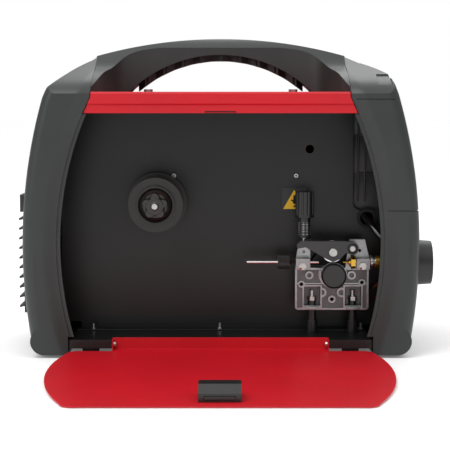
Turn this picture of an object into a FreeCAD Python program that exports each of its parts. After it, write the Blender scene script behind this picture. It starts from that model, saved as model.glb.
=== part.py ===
import FreeCAD, Part
import math
import os
import re

import Sketcher

Vector = FreeCAD.Vector
Rotation = FreeCAD.Rotation
Placement = FreeCAD.Placement

# Portable wire-feed welding machine. X runs along the case from the rear to the front panel, Y from the
# door side to the fixed side, Z upwards. The origin is on the ground under the middle of the case.
# The side door is modelled lying open, hanging on its two hinge screws.

doc = FreeCAD.newDocument("wire_feed_welder")
sheet = doc.addObject("Spreadsheet::Sheet", "Sheet")

DRIVING_DIMENSIONS = {
    # case
    "half_width": 120.0,
    "shell_bottom": 3.0,
    "cover_top": 302.0,
    "shell_wall": 3.0,
    "side_radius": 619.5,
    "side_centre_z": 123.9,
    "side_reach": 224.2,
    "rear_crown": 1.5,
    "front_crown": 2.5,
    "opening_radius": 377.9,
    "opening_centre_z": 128.4,
    "opening_reach": 186.0,
    "panel_gap": 0.9,
    "handle_end": 146.0,
    "handle_crest": 364.6,
    "joint_top": 344.0,
    "corner_width": 146.7,
    # base tray
    "floor_top": 20.4,
    "tray_sheet": 1.5,
    "tray_half_length": 172.0,
    "rail_inner": 125.3,
    "rail_bottom": 10.7,
    "rail_front": 118.5,
    "floor_front": 104.3,
    "foot_radius": 11.0,
    "foot_spacing_x": 300.0,
    "foot_spacing_y": 184.0,
    # partition
    "partition_front": 28.0,
    "partition_sheet": 1.5,
    "partition_cut_x": 157.6,
    "partition_cut_z": 161.5,
    # door
    "door_sheet": 1.2,
    "hinge_y": -112.6,
    "hinge_z": 14.8,
    "door_top": 287.0,
    "door_bottom": 23.8,
    "door_open_angle": 91.45,
    "flange_half": 123.6,
    "flange_drop": 5.0,
    "latch_width": 42.0,
    # spool hub
    "hub_x": -74.8,
    "hub_z": 172.2,
    "hub_radius": 25.0,
    "hub_back": -42.0,
    "disc_front": -90.0,
    "disc_radius": 31.5,
    "shaft_radius": 6.0,
    # wire drive
    "plate_left": 87.1,
    "plate_right": 173.3,
    "plate_bottom": 47.4,
    "plate_top": 130.3,
    "plate_front": -67.0,
    "plate_back": -55.0,
    "wire_y": -74.0,
    "wire_z": 104.5,
    "feed_x": 131.0,
    "feed_z": 89.7,
    "feed_radius": 14.8,
    "press_x": 129.8,
    "press_z": 117.4,
    "press_radius": 12.4,
    "arm_pivot_x": 152.2,
    "arm_pivot_z": 121.8,
    "arm_front": -88.0,
    "arm_back": -80.0,
    "lever_x": 98.5,
    "lever_z": 112.0,
    "lever_y": -56.0,
    "pillar_left_x": 107.2,
    "pillar_right_x": 155.0,
    "pillar_y": -61.0,
    # front panel
    "torch_radius": 27.5,
    "torch_front": 244.0,
    "fascia_half": 105.0,
    "fascia_x": 217.5,
    "fascia_top_x": 203.5,
    "fascia_low_z": 45.0,
    "fascia_bend_z": 172.0,
    "fascia_top_z": 268.0,
    "knob_z": 215.0,
    "knob_spacing": 76.0,
    "dinse_z": 78.0,
    # rear
    "fan_y": 0.0,
    "fan_z": 102.0,
    "louvre_pitch": 11.4,
    "louvre_first": 51.0,
    "louvre_tip": -236.0,
    "gland_y": 87.0,
    "gland_z": 75.0,
    "gas_z": 110.0,
    "switch_y": -50.0,
    "switch_z": 172.5,
}

for row, (alias, number) in enumerate(DRIVING_DIMENSIONS.items(), start=1):
    sheet.set(f"A{row}", alias.replace("_", " "))
    sheet.set(f"B{row}", str(number))
    sheet.setAlias(f"B{row}", alias)
doc.recompute()

ALIASES = re.compile(r"\b(" + "|".join(sorted(DRIVING_DIMENSIONS, key=len, reverse=True)) + r")\b")


def formula(text):
    """A FreeCAD expression in which the sheet's aliases are written out in full."""
    return ALIASES.sub(r"Sheet.\1", str(text))


def dim(alias):
    """The number that the sheet holds under an alias."""
    return float(getattr(sheet, alias))


# ---------------------------------------------------------------- primitives bound to the sheet

AXES = {
    "x": Rotation(Vector(0, 1, 0), 90),
    "y": Rotation(Vector(1, 0, 0), -90),
    "z": Rotation(),
    "-x": Rotation(Vector(0, 1, 0), -90),
    "-y": Rotation(Vector(1, 0, 0), 90),
}


def primitive(kind, name, at, along="z", **sizes):
    """A Part primitive whose sizes and place are bound to the sheet."""
    piece = doc.addObject(kind, name)
    for size, text in sizes.items():
        piece.setExpression(size, formula(text))
    piece.Placement = Placement(Vector(), AXES[along])
    for letter, text in zip("xyz", at):
        piece.setExpression(f"Placement.Base.{letter}", formula(text))
    return piece


def block(name, low, high):
    """A box between two corners, given as formulas."""
    lengths = [f"({b}) - ({a})" for a, b in zip(low, high)]
    return primitive("Part::Box", name, low, Length=lengths[0], Width=lengths[1], Height=lengths[2])


def rod(name, at, along, radius, length):
    """A round bar that starts at a point and runs along an axis."""
    return primitive("Part::Cylinder", name, at, along, Radius=radius, Height=length)


def taper(name, at, along, radius_1, radius_2, length):
    """A cone frustum."""
    return primitive("Part::Cone", name, at, along, Radius1=radius_1, Radius2=radius_2, Height=length)


def hexagon(name, at, along, across_flats, length):
    """A hexagonal prism, given across its flats."""
    prism = primitive("Part::Prism", name, at, along, Circumradius=f"({across_flats}) / sqrt(3)", Height=length)
    prism.Polygon = 6
    return prism


def fuse(name, *pieces):
    joined = doc.addObject("Part::MultiFuse", name)
    joined.Shapes = list(pieces)
    return joined


def common(name, *pieces):
    shared = doc.addObject("Part::MultiCommon", name)
    shared.Shapes = list(pieces)
    return shared


def cut(name, base, *tools):
    result = doc.addObject("Part::Cut", name)
    result.Base = base
    result.Tool = tools[0] if len(tools) == 1 else fuse(name + "_tools", *tools)
    return result


def group(name, *pieces):
    """Separate solids that share one node."""
    together = doc.addObject("Part::Compound", name)
    together.Links = list(pieces)
    return together


def feature(name, shape):
    """A piece whose shape is made with Part's own functions."""
    piece = doc.addObject("Part::Feature", name)
    piece.Shape = shape
    return piece


# ---------------------------------------------------------------- sketched sheet parts

def origin_plane(body, role):
    return next(item for item in body.Origin.OriginFeatures if item.Role == role)


def outline_sketch(body, name, role, offset, corners):
    """A closed sketch. Each corner is (x, y) or (x, y, radius of the arc to the next corner)."""
    sketch = body.newObject("Sketcher::SketchObject", name)
    sketch.AttachmentSupport = [(origin_plane(body, role), "")]
    sketch.MapMode = "FlatFace"
    sketch.setExpression("AttachmentOffset.Base.z", formula(offset))
    points = [Vector(number(corner[0]), number(corner[1]), 0) for corner in corners]
    edges = []
    for index, corner in enumerate(corners):
        start = points[index]
        end = points[(index + 1) % len(points)]
        if len(corner) == 2:
            edges.append(sketch.addGeometry(Part.LineSegment(start, end), False))
            continue
        edges.append(sketch.addGeometry(arc_between(start, end, number(corner[2])), False))
    for index, corner in enumerate(corners):
        following = edges[(index + 1) % len(edges)]
        end_of_edge = end_vertex(sketch, edges[index], points[(index + 1) % len(points)])
        start_of_next = 3 - end_vertex(sketch, following, points[(index + 2) % len(points)])
        sketch.addConstraint(Sketcher.Constraint("Coincident", edges[index], end_of_edge, following, start_of_next))
    for index, corner in enumerate(corners):
        vertex = 3 - end_vertex(sketch, edges[index], points[(index + 1) % len(points)])
        for kind, value in (("DistanceX", corner[0]), ("DistanceY", corner[1])):
            row = sketch.addConstraint(Sketcher.Constraint(kind, -1, 1, edges[index], vertex, number(value)))
            sketch.setExpression(f"Constraints[{row}]", formula(value))
        if len(corner) == 3:
            radius = abs(number(corner[2]))
            row = sketch.addConstraint(Sketcher.Constraint("Radius", edges[index], radius))
            sketch.setExpression(f"Constraints[{row}]", formula(f"abs({corner[2]})"))
    return sketch


def number(text):
    """What a formula is worth: the sheet works it out in a spare cell."""
    sheet.set("D1", f"={text}")
    sheet.recompute()
    return float(sheet.get("D1"))


def arc_between(start, end, radius):
    """The short arc from start to end; a positive radius bulges to the left of the way."""
    chord = end - start
    middle = (start + end) * 0.5
    left = Vector(-chord.y, chord.x, 0).normalize()
    rise = abs(radius) - math.sqrt(radius * radius - (chord.Length / 2) ** 2)
    through = middle + left * math.copysign(rise, radius)
    return Part.Arc(start, through, end)


def end_vertex(sketch, edge, point):
    """2 if the edge's own end lies at the point, else 1: an arc may be stored the other way round."""
    return 2 if (sketch.getPoint(edge, 2) - point).Length < (sketch.getPoint(edge, 1) - point).Length else 1


def sheet_plate(name, role, offset, thickness, corners, holes=()):
    """A flat plate padded from a sketch, with round holes given as (x, y, radius)."""
    body = doc.addObject("PartDesign::Body", name)
    outline = outline_sketch(body, name + "_outline", role, offset, corners)
    pad = body.newObject("PartDesign::Pad", name + "_pad")
    pad.Profile = outline
    pad.setExpression("Length", formula(thickness))
    body.Tip = pad
    doc.recompute()
    if holes:
        drawing = body.newObject("Sketcher::SketchObject", name + "_holes")
        drawing.AttachmentSupport = [(origin_plane(body, role), "")]
        drawing.MapMode = "FlatFace"
        drawing.setExpression("AttachmentOffset.Base.z", formula(offset))
        for x, y, radius in holes:
            centre = Vector(number(x), number(y), 0)
            circle = drawing.addGeometry(Part.Circle(centre, Vector(0, 0, 1), number(radius)), False)
            for kind, value in (("DistanceX", x), ("DistanceY", y)):
                row = drawing.addConstraint(Sketcher.Constraint(kind, -1, 1, circle, 3, number(value)))
                drawing.setExpression(f"Constraints[{row}]", formula(value))
            row = drawing.addConstraint(Sketcher.Constraint("Radius", circle, number(radius)))
            drawing.setExpression(f"Constraints[{row}]", formula(radius))
        pocket = body.newObject("PartDesign::Pocket", name + "_pocket")
        pocket.Profile = drawing
        pocket.Type = 1
        pocket.Midplane = True
        body.Tip = pocket
    return body


# ---------------------------------------------------------------- outlines that several pieces share

def opening_x(z):
    """Half-length of the side opening at a height."""
    centre_x = dim("opening_reach") - dim("opening_radius")
    return centre_x + math.sqrt(dim("opening_radius") ** 2 - (z - dim("opening_centre_z")) ** 2)


def side_x(z, crown):
    """Distance from mid-length to a shell's end face at a height, on the crown line."""
    centre_x = dim("side_reach") - dim("side_radius")
    return centre_x + crown + math.sqrt(dim("side_radius") ** 2 - (z - dim("side_centre_z")) ** 2)


def wire_of(points):
    """A closed wire through (x, z) corners; a corner ("arc", x, z) is the middle of a curve to the next one."""
    edges = []
    last = Vector(points[0][0], 0, points[0][1])
    index = 1
    loop = points + [points[0]]
    while index < len(loop):
        corner = loop[index]
        if corner[0] == "arc":
            through = Vector(corner[1], 0, corner[2])
            after = Vector(loop[index + 1][0], 0, loop[index + 1][1])
            edges.append(Part.Arc(last, through, after).toShape())
            index += 2
        else:
            after = Vector(corner[0], 0, corner[1])
            edges.append(Part.makeLine(last, after))
            index += 1
        last = after
    return Part.Wire(edges)


def slab(points, y_low, y_high):
    """An outline in X and Z, carried from one Y to another."""
    face = Part.Face(wire_of(points))
    face.translate(Vector(0, y_low, 0))
    return face.extrude(Vector(0, y_high - y_low, 0))


def opening_slab(gap, z_low, z_high, y_low, y_high):
    """The side opening's outline between two heights, smaller all round by a gap."""
    middle = (z_low + z_high) / 2
    low, mid, high = (opening_x(z) - gap for z in (z_low, middle, z_high))
    outline = [(-low, z_low), (low, z_low), ("arc", mid, middle), (high, z_high), (-high, z_high), ("arc", -mid, middle)]
    return slab(outline, y_low, y_high)


def side_opening(gap, z_low, z_high, y_low, y_high):
    """The side opening up to the cover's top, where its two corners stand upright."""
    reach = dim("corner_width") - gap
    corners = Part.makeBox(2 * reach, y_high - y_low, z_high - 292, Vector(-reach, y_low, 292))
    return opening_slab(gap, z_low, z_high, y_low, y_high).fuse(corners).removeSplitter()


def smooth(points):
    """A smooth edge through points."""
    curve = Part.BSplineCurve()
    curve.interpolate(points)
    return curve.toShape()


def roof_section(crest, heights, drop, foot):
    """A face across the width: a smooth roof through (half-width, height) points down to a foot level."""
    right = [Vector(0, y - drop, z - drop) for y, z in heights]
    left = [Vector(0, -point.y, point.z) for point in reversed(right)]
    roof = smooth(left + [Vector(0, 0, crest - drop)] + right)
    foot_right = Vector(0, right[-1].y, foot)
    foot_left = Vector(0, left[0].y, foot)
    sides = [Part.makeLine(right[-1], foot_right), Part.makeLine(foot_right, foot_left), Part.makeLine(foot_left, left[0])]
    return Part.Face(Part.Wire([roof] + sides))


def roof_prism(drop, x_low, x_high):
    """The shells' roof section over the whole width: steep shoulders, then a gentle crown."""
    heights = [(20, 340.5), (46, 332), (70, 325), (97, 316.5), (113, 308), (dim("half_width"), 300)]
    face = roof_section(dim("joint_top") + 1, heights, drop, -5)
    face.translate(Vector(x_low, 0, 0))
    return face.extrude(Vector(x_high - x_low, 0, 0))


FRONT_TOP = [(0, 300), ("arc", 196.5, 311.5), (191.8, 322.3), ("arc", 177.5, 330.3), (161.5, 336.2)]
REAR_TOP = [(0, 294), ("arc", 199.2, 300.5), (196.5, 306), (176, 323), ("arc", 164.5, 331.9), (152, 339)]


def shell_outline(crown, top, inset, end_x):
    """Side view of a moulded end shell on the +X side, from its foot round to the handle joint."""
    low_z = dim("shell_bottom") + inset
    corner = 16.0
    z_1 = low_z + corner
    z_3 = top[0][1]
    z_2 = (z_1 + z_3) / 2
    foot_x = side_x(z_1, crown) - inset - corner
    shift = 0.8 * inset
    shoulder = [(*place[:-2], place[-2] - shift, place[-1] - shift) for place in top[1:]]
    return [
        (end_x, low_z), (foot_x, low_z),
        ("arc", side_x(z_1, crown) - inset - 0.29 * corner, low_z + 0.29 * corner),
        (side_x(z_1, crown) - inset, z_1),
        ("arc", side_x(z_2, crown) - inset, z_2), (side_x(z_3, crown) - inset, z_3),
        *shoulder, (end_x, dim("joint_top") - inset),
    ]


def shell_solid(crown, top, inset, end_x):
    """A full end block whose faces lie an inset inside the shell's outside."""
    half = dim("half_width") - inset
    block_shape = slab(shell_outline(crown, top, inset, end_x), -half, half)
    return rounded_rims(block_shape, half, 13.0 - inset).common(roof_prism(inset, end_x - 1, 300))


def end_shell(crown, top):
    """A hollow shell on the +X side: end wall, side walls up to the opening, roof and foot."""
    half = dim("half_width")
    wall = dim("shell_wall")
    joint = dim("handle_end")
    opening = side_opening(0, 23.0, dim("cover_top") + 0.3, -half - 1, half + 1)
    foot_gap = Part.makeBox(173.8, 2 * half + 2, 30, Vector(0, -half - 1, -5))
    outer = shell_solid(crown, top, 0, joint).cut(opening).cut(foot_gap)
    inner = shell_solid(crown, top, wall, 90)
    lip_width = 4.5
    lip_front = half - 1.8
    lip_back = half - 4.5
    lip = opening_slab(-wall, 24.0, 277.0, -lip_front, lip_front)
    lip = lip.cut(opening_slab(lip_width, 20.0, 280.0, -half, half))
    lip = lip.cut(Part.makeBox(400, 2 * lip_back, 400, Vector(-200, -lip_back, 0)))
    lip = lip.cut(Part.makeBox(340, 2 * half, 400, Vector(-340, -half, 0)))
    return outer.cut(inner).fuse(lip).removeSplitter()


def rounded_rims(solid, half, radius):
    """Round the long curved edges where the end face meets the two sides."""
    rims = []
    for edge in solid.Edges:
        middle = edge.valueAt((edge.FirstParameter + edge.LastParameter) / 2)
        on_side = abs(abs(middle.y) - half) < 0.01
        along_side = abs(edge.Vertexes[0].Point.y - edge.Vertexes[-1].Point.y) < 0.01
        if on_side and along_side and edge.Length > 100 and middle.x > 190:
            rims.append(edge)
    return solid.makeFillet(radius, rims)


def mirrored_x(shape):
    return shape.mirror(Vector(0, 0, 0), Vector(1, 0, 0))


# ---------------------------------------------------------------- case

def front_shell():
    crown = dim("front_crown")
    shape = end_shell(crown, FRONT_TOP)
    half = dim("fascia_half")
    low, high = dim("fascia_low_z"), dim("fascia_top_z")
    window = Part.makeBox(60, 2 * half, high - low, Vector(190, -half, low))
    groove_depth = 1.2
    core = shell_solid(crown, FRONT_TOP, groove_depth, 100)
    grooves = [
        Part.makeBox(60, 260, 1.4, Vector(189, -130, 167.3)),
        Part.makeBox(43, 260, 1.6, Vector(153, -130, 292.8)),
        Part.makeBox(16, 50, 13, Vector(178, -130, 310)),
        Part.makeBox(16, 50, 13, Vector(178, 80, 310)),
    ]
    for groove in grooves:
        shape = shape.cut(groove.cut(core))
    return feature("front_shell", shape.cut(window))


def rear_shell():
    shape = mirrored_x(end_shell(dim("rear_crown"), REAR_TOP))
    fan_y = dim("fan_y")
    grille = Part.makeBox(60, 130, 116, Vector(-250, fan_y - 65, 44))
    pocket = Part.makeBox(60, 40, 80, Vector(-250, 66.5, 50))
    switch = Part.makeBox(60, 30, 20, Vector(-250, dim("switch_y") - 15, dim("switch_z") - 10))
    return feature("rear_shell", shape.cut(grille).cut(pocket).cut(switch))


def handle():
    """Arched hand grip that flares at both ends to meet the shells; hollow and ribbed underneath."""
    end = dim("handle_end") - 0.2
    crest = dim("handle_crest")
    joint = dim("joint_top")
    foot = dim("cover_top")
    wall = 3.0
    arch = 108.0
    grip = 24.0

    def side_view(inset, arch_grow):
        return [(-end + inset, foot), (-arch + arch_grow, foot),
                ("arc", 0, 345.5 + arch_grow), (arch - arch_grow, foot),
                (end - inset, foot), (end - inset, joint - inset), ("arc", 0, crest - inset),
                (-end + inset, joint - inset)]

    def flare(inset):
        """One quarter of the plan, from the shell joint in to the straight grip."""
        rim = [(end, -113), (141.5, -104), (134, -72), (126, -49), (115, -35), (95, -27), (70, -grip)]
        points = [Vector(x, y, 290) for x, y in rim]
        moved = []
        for index, point in enumerate(points):
            way = points[min(index + 1, len(rim) - 1)] - points[max(index - 1, 0)]
            moved.append(point + Vector(way.y, -way.x, 0).normalize() * inset)
        moved[0] = Vector(end, moved[0].y, 290)
        return moved

    def plan(inset):
        corner = flare(inset)
        flips = [(1, 1), (-1, 1), (-1, -1), (1, -1)]
        corners = [[Vector(p.x * x, p.y * y, p.z) for p in corner] for x, y in flips]
        edges = []
        for index, points in enumerate(corners):
            points = points if index % 2 == 0 else points[::-1]
            following = corners[(index + 1) % 4]
            edges.append(smooth(points))
            edges.append(Part.makeLine(points[-1], following[0] if index % 2 else following[-1]))
        return Part.Face(Part.Wire(edges)).extrude(Vector(0, 0, 90))

    def grip_roof(inset):
        heights = [(12, 363.5), (24, 354), (34, 342), (46, 332), (70, 325), (97, 316.5), (115, 306)]
        face = roof_section(crest + 2, heights, inset, 290)
        face.translate(Vector(-150, 0, 0))
        return face.extrude(Vector(300, 0, 0))

    outer = slab(side_view(0, 0), -115, 115).common(plan(0)).common(grip_roof(0))
    hollow = slab(side_view(0, -2.0), -115, 115).common(plan(wall)).common(grip_roof(wall))
    hollow = hollow.common(slab(side_view(wall, -2.0), -115, 115))
    shape = outer.cut(hollow)
    ribs = []
    for step in range(-5, 6):
        for lean in (35, -35):
            rib = Part.makeBox(60, 1.8, 90, Vector(-30, -0.9, 290))
            rib.rotate(Vector(0, 0, 0), Vector(0, 0, 1), lean)
            rib.translate(Vector(step * 22.0, 0, 0))
            ribs.append(rib)
    rib_space = slab([(-98, 302.5), ("arc", 0, 338.5), (98, 302.5), (98, crest), (-98, crest)], -19, 19)
    roof_limit = slab(side_view(1.0, -60), -115, 115).common(grip_roof(1.0))
    lattice = ribs[0].multiFuse(ribs[1:]).common(rib_space).common(roof_limit)
    return feature("handle", shape.fuse(lattice).removeSplitter())


def cover():
    """Bent steel cover: top, short front strip with a joggle and latch slot, and the fixed side."""
    half = dim("half_width")
    gauge = 1.5
    top = dim("cover_top")
    joggle = 288.7
    strip_low = 278.0
    sheet_run = [
        (half, 22), (half, top - 2), (half - 2, top), (2 - half, top), (-half, top - 2), (-half, joggle),
        (1.8 - half, joggle - 1.8), (1.8 - half, strip_low), (14 - half, strip_low), (14 - half, strip_low + gauge),
        (3.3 - half, strip_low + gauge), (3.3 - half, joggle - 0.4), (gauge - half, joggle + 0.8),
        (gauge - half, top - 2.6), (2.6 - half, top - gauge), (half - 2.6, top - gauge), (half - gauge, top - 2.6),
        (half - gauge, 22),
    ]
    wire = Part.makePolygon([Vector(-200, y, z) for y, z in sheet_run + sheet_run[:1]])
    bent = Part.Face(wire).extrude(Vector(400, 0, 0))
    trimmed = bent.common(side_opening(dim("panel_gap"), 22.0, top, -half - 1, half + 1))
    latch_slot = Part.makeBox(35, 7, 4, Vector(-17.5, 1 - half, strip_low - 1.5))
    trimmed = trimmed.cut(latch_slot)
    for x in (-85, 85):
        trimmed = trimmed.cut(Part.makeCylinder(2.5, 6, Vector(x, -40, top - 4)))
    return feature("cover", trimmed)


def case_screws():
    """Hex bolts through the cover and pan-head screws in the partition."""
    bolts = []
    for index, x in enumerate((-85, 85)):
        head = hexagon(f"cover_bolt_head_{index}", (x, "-40", "cover_top"), "z", "9", "3")
        shank = rod(f"cover_bolt_shank_{index}", (x, "-40", "cover_top - 8"), "z", "2.5", "8.5")
        bolts.append(fuse(f"cover_bolt_{index}", head, shank))
    for index, x in enumerate(("-55.7", "89.7")):
        head = taper(f"wall_screw_head_{index}", (x, "-partition_front", "202.8"), "-y", "3.6", "2.5", "2.2")
        shank = rod(f"wall_screw_shank_{index}", (x, "-partition_front", "202.8"), "y", "2", "6")
        bolts.append(fuse(f"wall_screw_{index}", head, shank))
    return group("case_screws", *bolts)


def base_tray():
    """Bent steel tray: floor, two front rails with end tabs for the door hinges, rear flange."""
    under = "floor_top - tray_sheet"
    pieces = [
        block("floor", ("-tray_half_length", "-floor_front", under), ("tray_half_length", "116", "floor_top")),
        block("rear_flange", ("-tray_half_length", "114.5", "6"), ("tray_half_length", "116", "floor_top")),
    ]
    holes = [rod(f"foot_screw_hole_{index}", (x, y, "10"), "z", "2.5", "20") for index, (x, y) in enumerate(foot_places())]
    for side, name in ((-1, "rear"), (1, "front")):
        ends = sorted(((side, "tray_half_length"), (side, "rail_inner")), key=lambda item: item[0] * dim(item[1]))
        low, high = (f"{sign} * {alias}" for sign, alias in ends)
        pieces.append(block(f"{name}_apron", (low, "-rail_front", under), (high, "-floor_front", "floor_top")))
        pieces.append(block(f"{name}_rail", (low, "-rail_front", "rail_bottom"), (high, "1.5 - rail_front", "floor_top")))
        tab_low = "rail_inner - 1.2" if side > 0 else "-rail_inner"
        tab_high = "rail_inner + 0.3" if side > 0 else "1.2 - rail_inner"
        pieces.append(block(f"{name}_tab", (tab_low, "-rail_front", "rail_bottom"), (tab_high, "-106.5", "floor_top")))
        holes.append(rod(f"{name}_tab_hole", (f"{side} * rail_inner - 5", "hinge_y", "hinge_z"), "x", "2", "10"))
    return cut("base_tray", fuse("tray_sheet_metal", *pieces), *holes)


def foot_places():
    return [(f"{x} * foot_spacing_x / 2", f"{y} * foot_spacing_y / 2") for x in (-1, 1) for y in (-1, 1)]


def feet():
    """Four rubber feet, each with a screw hole right through it."""
    pads = []
    for index, (x, y) in enumerate(foot_places()):
        pad = taper(f"foot_blank_{index}", (x, y, "0"), "z", "foot_radius - 1.5", "foot_radius", "floor_top - tray_sheet")
        pads.append(cut(f"foot_{index}", pad, rod(f"foot_bore_{index}", (x, y, "-1"), "z", "2.5", "30")))
    return group("feet", *pads)


def partition():
    """Upright sheet between the spool bay and the electronics, with a foot flange and a corner cut away."""
    corner = 9.0
    left_low, left_high = -190, -188
    outline = [
        (left_low, "24"), ("190", "24"), ("190", "partition_cut_z"),
        (f"partition_cut_x + {corner}", "partition_cut_z", f"{corner}"),
        ("partition_cut_x", f"partition_cut_z + {corner}"), ("partition_cut_x", "300.5"), (left_high, "300.5"),
        (left_low, "255"),
    ]
    holes = [
        ("feed_x", "feed_z", "27"), ("105.8", "234.4", "5"), ("hub_x", "hub_z", "4"),
        ("-55.7", "202.8", "2"), ("89.7", "202.8", "2"), ("174", "152", "9"),
    ]
    wall = sheet_plate("partition_wall", "XZ_Plane", "partition_front - partition_sheet", "partition_sheet", outline, holes)
    lip = block("partition_foot", ("-170", "-53", "floor_top"), ("170", "partition_sheet - partition_front", "floor_top + 1.5"))
    riser = block("partition_riser", ("-170", "-partition_front", "floor_top"),
                  ("170", "partition_sheet - partition_front", "26"))
    top = block("partition_head", ("-140", "-53", "299"), ("140", "partition_sheet - partition_front", "300.5"))
    holes = [rod(f"head_hole_{x}", (x, "-40", "290"), "z", "2.5", "20") for x in (-85, 85)]
    slot = block("cable_slot", ("-184.5", "-30", "17"), ("-167", "-25", "28"))
    return cut("partition", fuse("partition_blank", wall, lip, riser, top), slot, *holes)


def warning_plate():
    outline = [("73", "161.7"), ("101.6", "161.7"), ("101.6", "188.5"), ("73", "188.5")]
    return sheet_plate("warning_plate", "XZ_Plane", "partition_front", "0.8", outline)


def floor_pins():
    pins = []
    for index, x in enumerate((-151, -1, 166)):
        stem = rod(f"pin_stem_{index}", (x, "-48", "floor_top + 1.5"), "z", "1.6", "7")
        base = rod(f"pin_base_{index}", (x, "-48", "floor_top + 1.5"), "z", "3.2", "1.6")
        pins.append(fuse(f"floor_pin_{index}", stem, base))
    return group("floor_pins", *pins)


# ---------------------------------------------------------------- side door, drawn closed and then swung open

def swing_open(piece):
    """Turn a piece drawn on the closed door about the hinge line to where the open door lies."""
    pivot = Vector(0, dim("hinge_y"), dim("hinge_z"))
    turn = Placement(Vector(), Rotation(Vector(1, 0, 0), dim("door_open_angle")), pivot)
    piece.Placement = turn.multiply(piece.Placement)
    return piece


def door_outline():
    """The closed door's outline: it follows the side opening, with a tongue below for the hinge flange."""
    arc = "opening_radius - panel_gap"
    centre = "(opening_reach - opening_radius)"

    def edge(z):
        return f"{centre} + sqrt(({arc})^2 - (({z}) - opening_centre_z)^2)"

    return [
        (f"-({edge('door_bottom + 6')})", "door_bottom + 6"), (f"6 - ({edge('door_bottom')})", "door_bottom"),
        ("-flange_half", "door_bottom"), ("-flange_half", "hinge_z - flange_drop"),
        ("flange_half", "hinge_z - flange_drop"), ("flange_half", "door_bottom"),
        (f"({edge('door_bottom')}) - 6", "door_bottom"), (edge("door_bottom + 6"), "door_bottom + 6", f"-({arc})"),
        (edge("door_top - 12"), "door_top - 12", "-14"), (f"({edge('door_top')}) - 12", "door_top"),
        (f"12 - ({edge('door_top')})", "door_top", "-14"), (f"-({edge('door_top - 12')})", "door_top - 12", f"-({arc})"),
    ]


def door_panel():
    """Flat sheet that fills the side opening, with a folded hinge flange, two ears and a pull slot."""
    skin = sheet_plate("door_skin", "XZ_Plane", "120 - door_sheet", "door_sheet", door_outline())
    flange = block("door_flange", ("-flange_half", "door_sheet - 120", "hinge_z - flange_drop"),
                   ("flange_half", "hinge_y + 6.8", "hinge_z - flange_drop + door_sheet"))
    ears = []
    for side in (-1, 1):
        low = "-flange_half" if side < 0 else "flange_half - door_sheet"
        high = "door_sheet - flange_half" if side < 0 else "flange_half"
        ears.append(block(f"ear_{side}", (low, "door_sheet - 120", "hinge_z - flange_drop"), (high, "hinge_y + 5.5", "hinge_z + 5.5")))
    hole = rod("ear_holes", ("-flange_half - 5", "hinge_y", "hinge_z"), "x", "2.05", "2 * flange_half + 10")
    pull_slot = block("pull_slot", ("-15", "-125", "door_top - 45"), ("15", "-110", "door_top - 26"))
    return swing_open(cut("door_panel", fuse("door_blank", skin, flange, *ears), hole, pull_slot))


def latch_housing():
    """Black moulding behind the pull slot: a bevelled box with a channel for the sliding bolt."""
    inner = "door_sheet - 120"
    body = block("latch_box", ("-latch_width / 2", inner, "door_top - 50"), ("latch_width / 2", "-102.8", "door_top - 16"))
    bevel = primitive("Part::Wedge", "latch_bevel", ("-latch_width / 2 - 1", "-102.0", "door_top - 15"), "z")
    bevel.Xmin, bevel.Ymin, bevel.Zmin, bevel.X2min, bevel.Z2min = 0, 0, 0, 0, 0
    bevel.setExpression("Xmax", formula("latch_width + 2"))
    bevel.setExpression("X2max", formula("latch_width + 2"))
    bevel.Ymax, bevel.Zmax, bevel.Z2max = 9, 13, 0
    bevel.Placement = Placement(Vector(0, 0, 0), Rotation(Vector(1, 0, 0), 180))
    for letter, text in zip("xyz", ("-latch_width / 2 - 1", "-102.0", "door_top - 15")):
        bevel.setExpression(f"Placement.Base.{letter}", formula(text))
    step = block("latch_step", ("-latch_width / 2 - 1", "-106", "door_top - 51"), ("latch_width / 2 + 1", "-101", "door_top - 44"))
    channel = block("latch_channel", ("-15.5", "-116.7", "door_top - 46"), ("15.5", "-112.5", "door_top - 15"))
    finger = block("latch_finger_well", ("-13", "-119", "door_top - 44"), ("13", "-113", "door_top - 26.5"))
    return swing_open(cut("latch_housing", body, bevel, step, channel, finger))


def latch_bolt():
    """Flat bolt that slides along the door towards the slot in the cover's strip."""
    bar = block("bolt_bar", ("-15.2", "-116.3", "door_top - 41"), ("15.2", "-112.9", "door_top - 15.5"))
    tab = block("bolt_pull_tab", ("-12.5", "-119.2", "door_top - 41"), ("12.5", "-116.3", "door_top - 37"))
    return swing_open(fuse("latch_bolt", bar, tab))


def hinge_screws():
    """Shoulder screws: pan head inside each ear, plain shoulder through it, thread in the rail's tab."""
    screws = []
    for side in (-1, 1):
        along = "x" if side > 0 else "-x"
        head_x = f"{side} * (flange_half - door_sheet - 2.9)"
        head = taper(f"hinge_head_{side}", (head_x, "hinge_y", "hinge_z"), along, "2.8", "3.4", "2.5")
        shank = rod(f"hinge_shank_{side}", (head_x, "hinge_y", "hinge_z"), along, "2", "9")
        nut = hexagon(f"hinge_nut_{side}", (f"{side} * (rail_inner + 0.3)", "hinge_y", "hinge_z"), along, "7", "3.2")
        screws.append(fuse(f"hinge_screw_{side}", head, shank, nut))
    return group("hinge_screws", *screws)


# ---------------------------------------------------------------- spool hub

def hub_shaft():
    """Fixed spindle on a flange screwed to the partition, with a shoulder at its outer end."""
    flange = rod("hub_flange", ("hub_x", "-partition_front", "hub_z"), "-y", "24", "4")
    boss = rod("hub_boss", ("hub_x", "-partition_front", "hub_z"), "-y", "12", "9")
    spindle = rod("hub_spindle", ("hub_x", "-partition_front", "hub_z"), "-y", "shaft_radius", "56")
    stud = rod("hub_stud", ("hub_x", "-partition_front", "hub_z"), "-y", "4", "82.5")
    return fuse("hub_shaft", flange, boss, spindle, stud)


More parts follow.
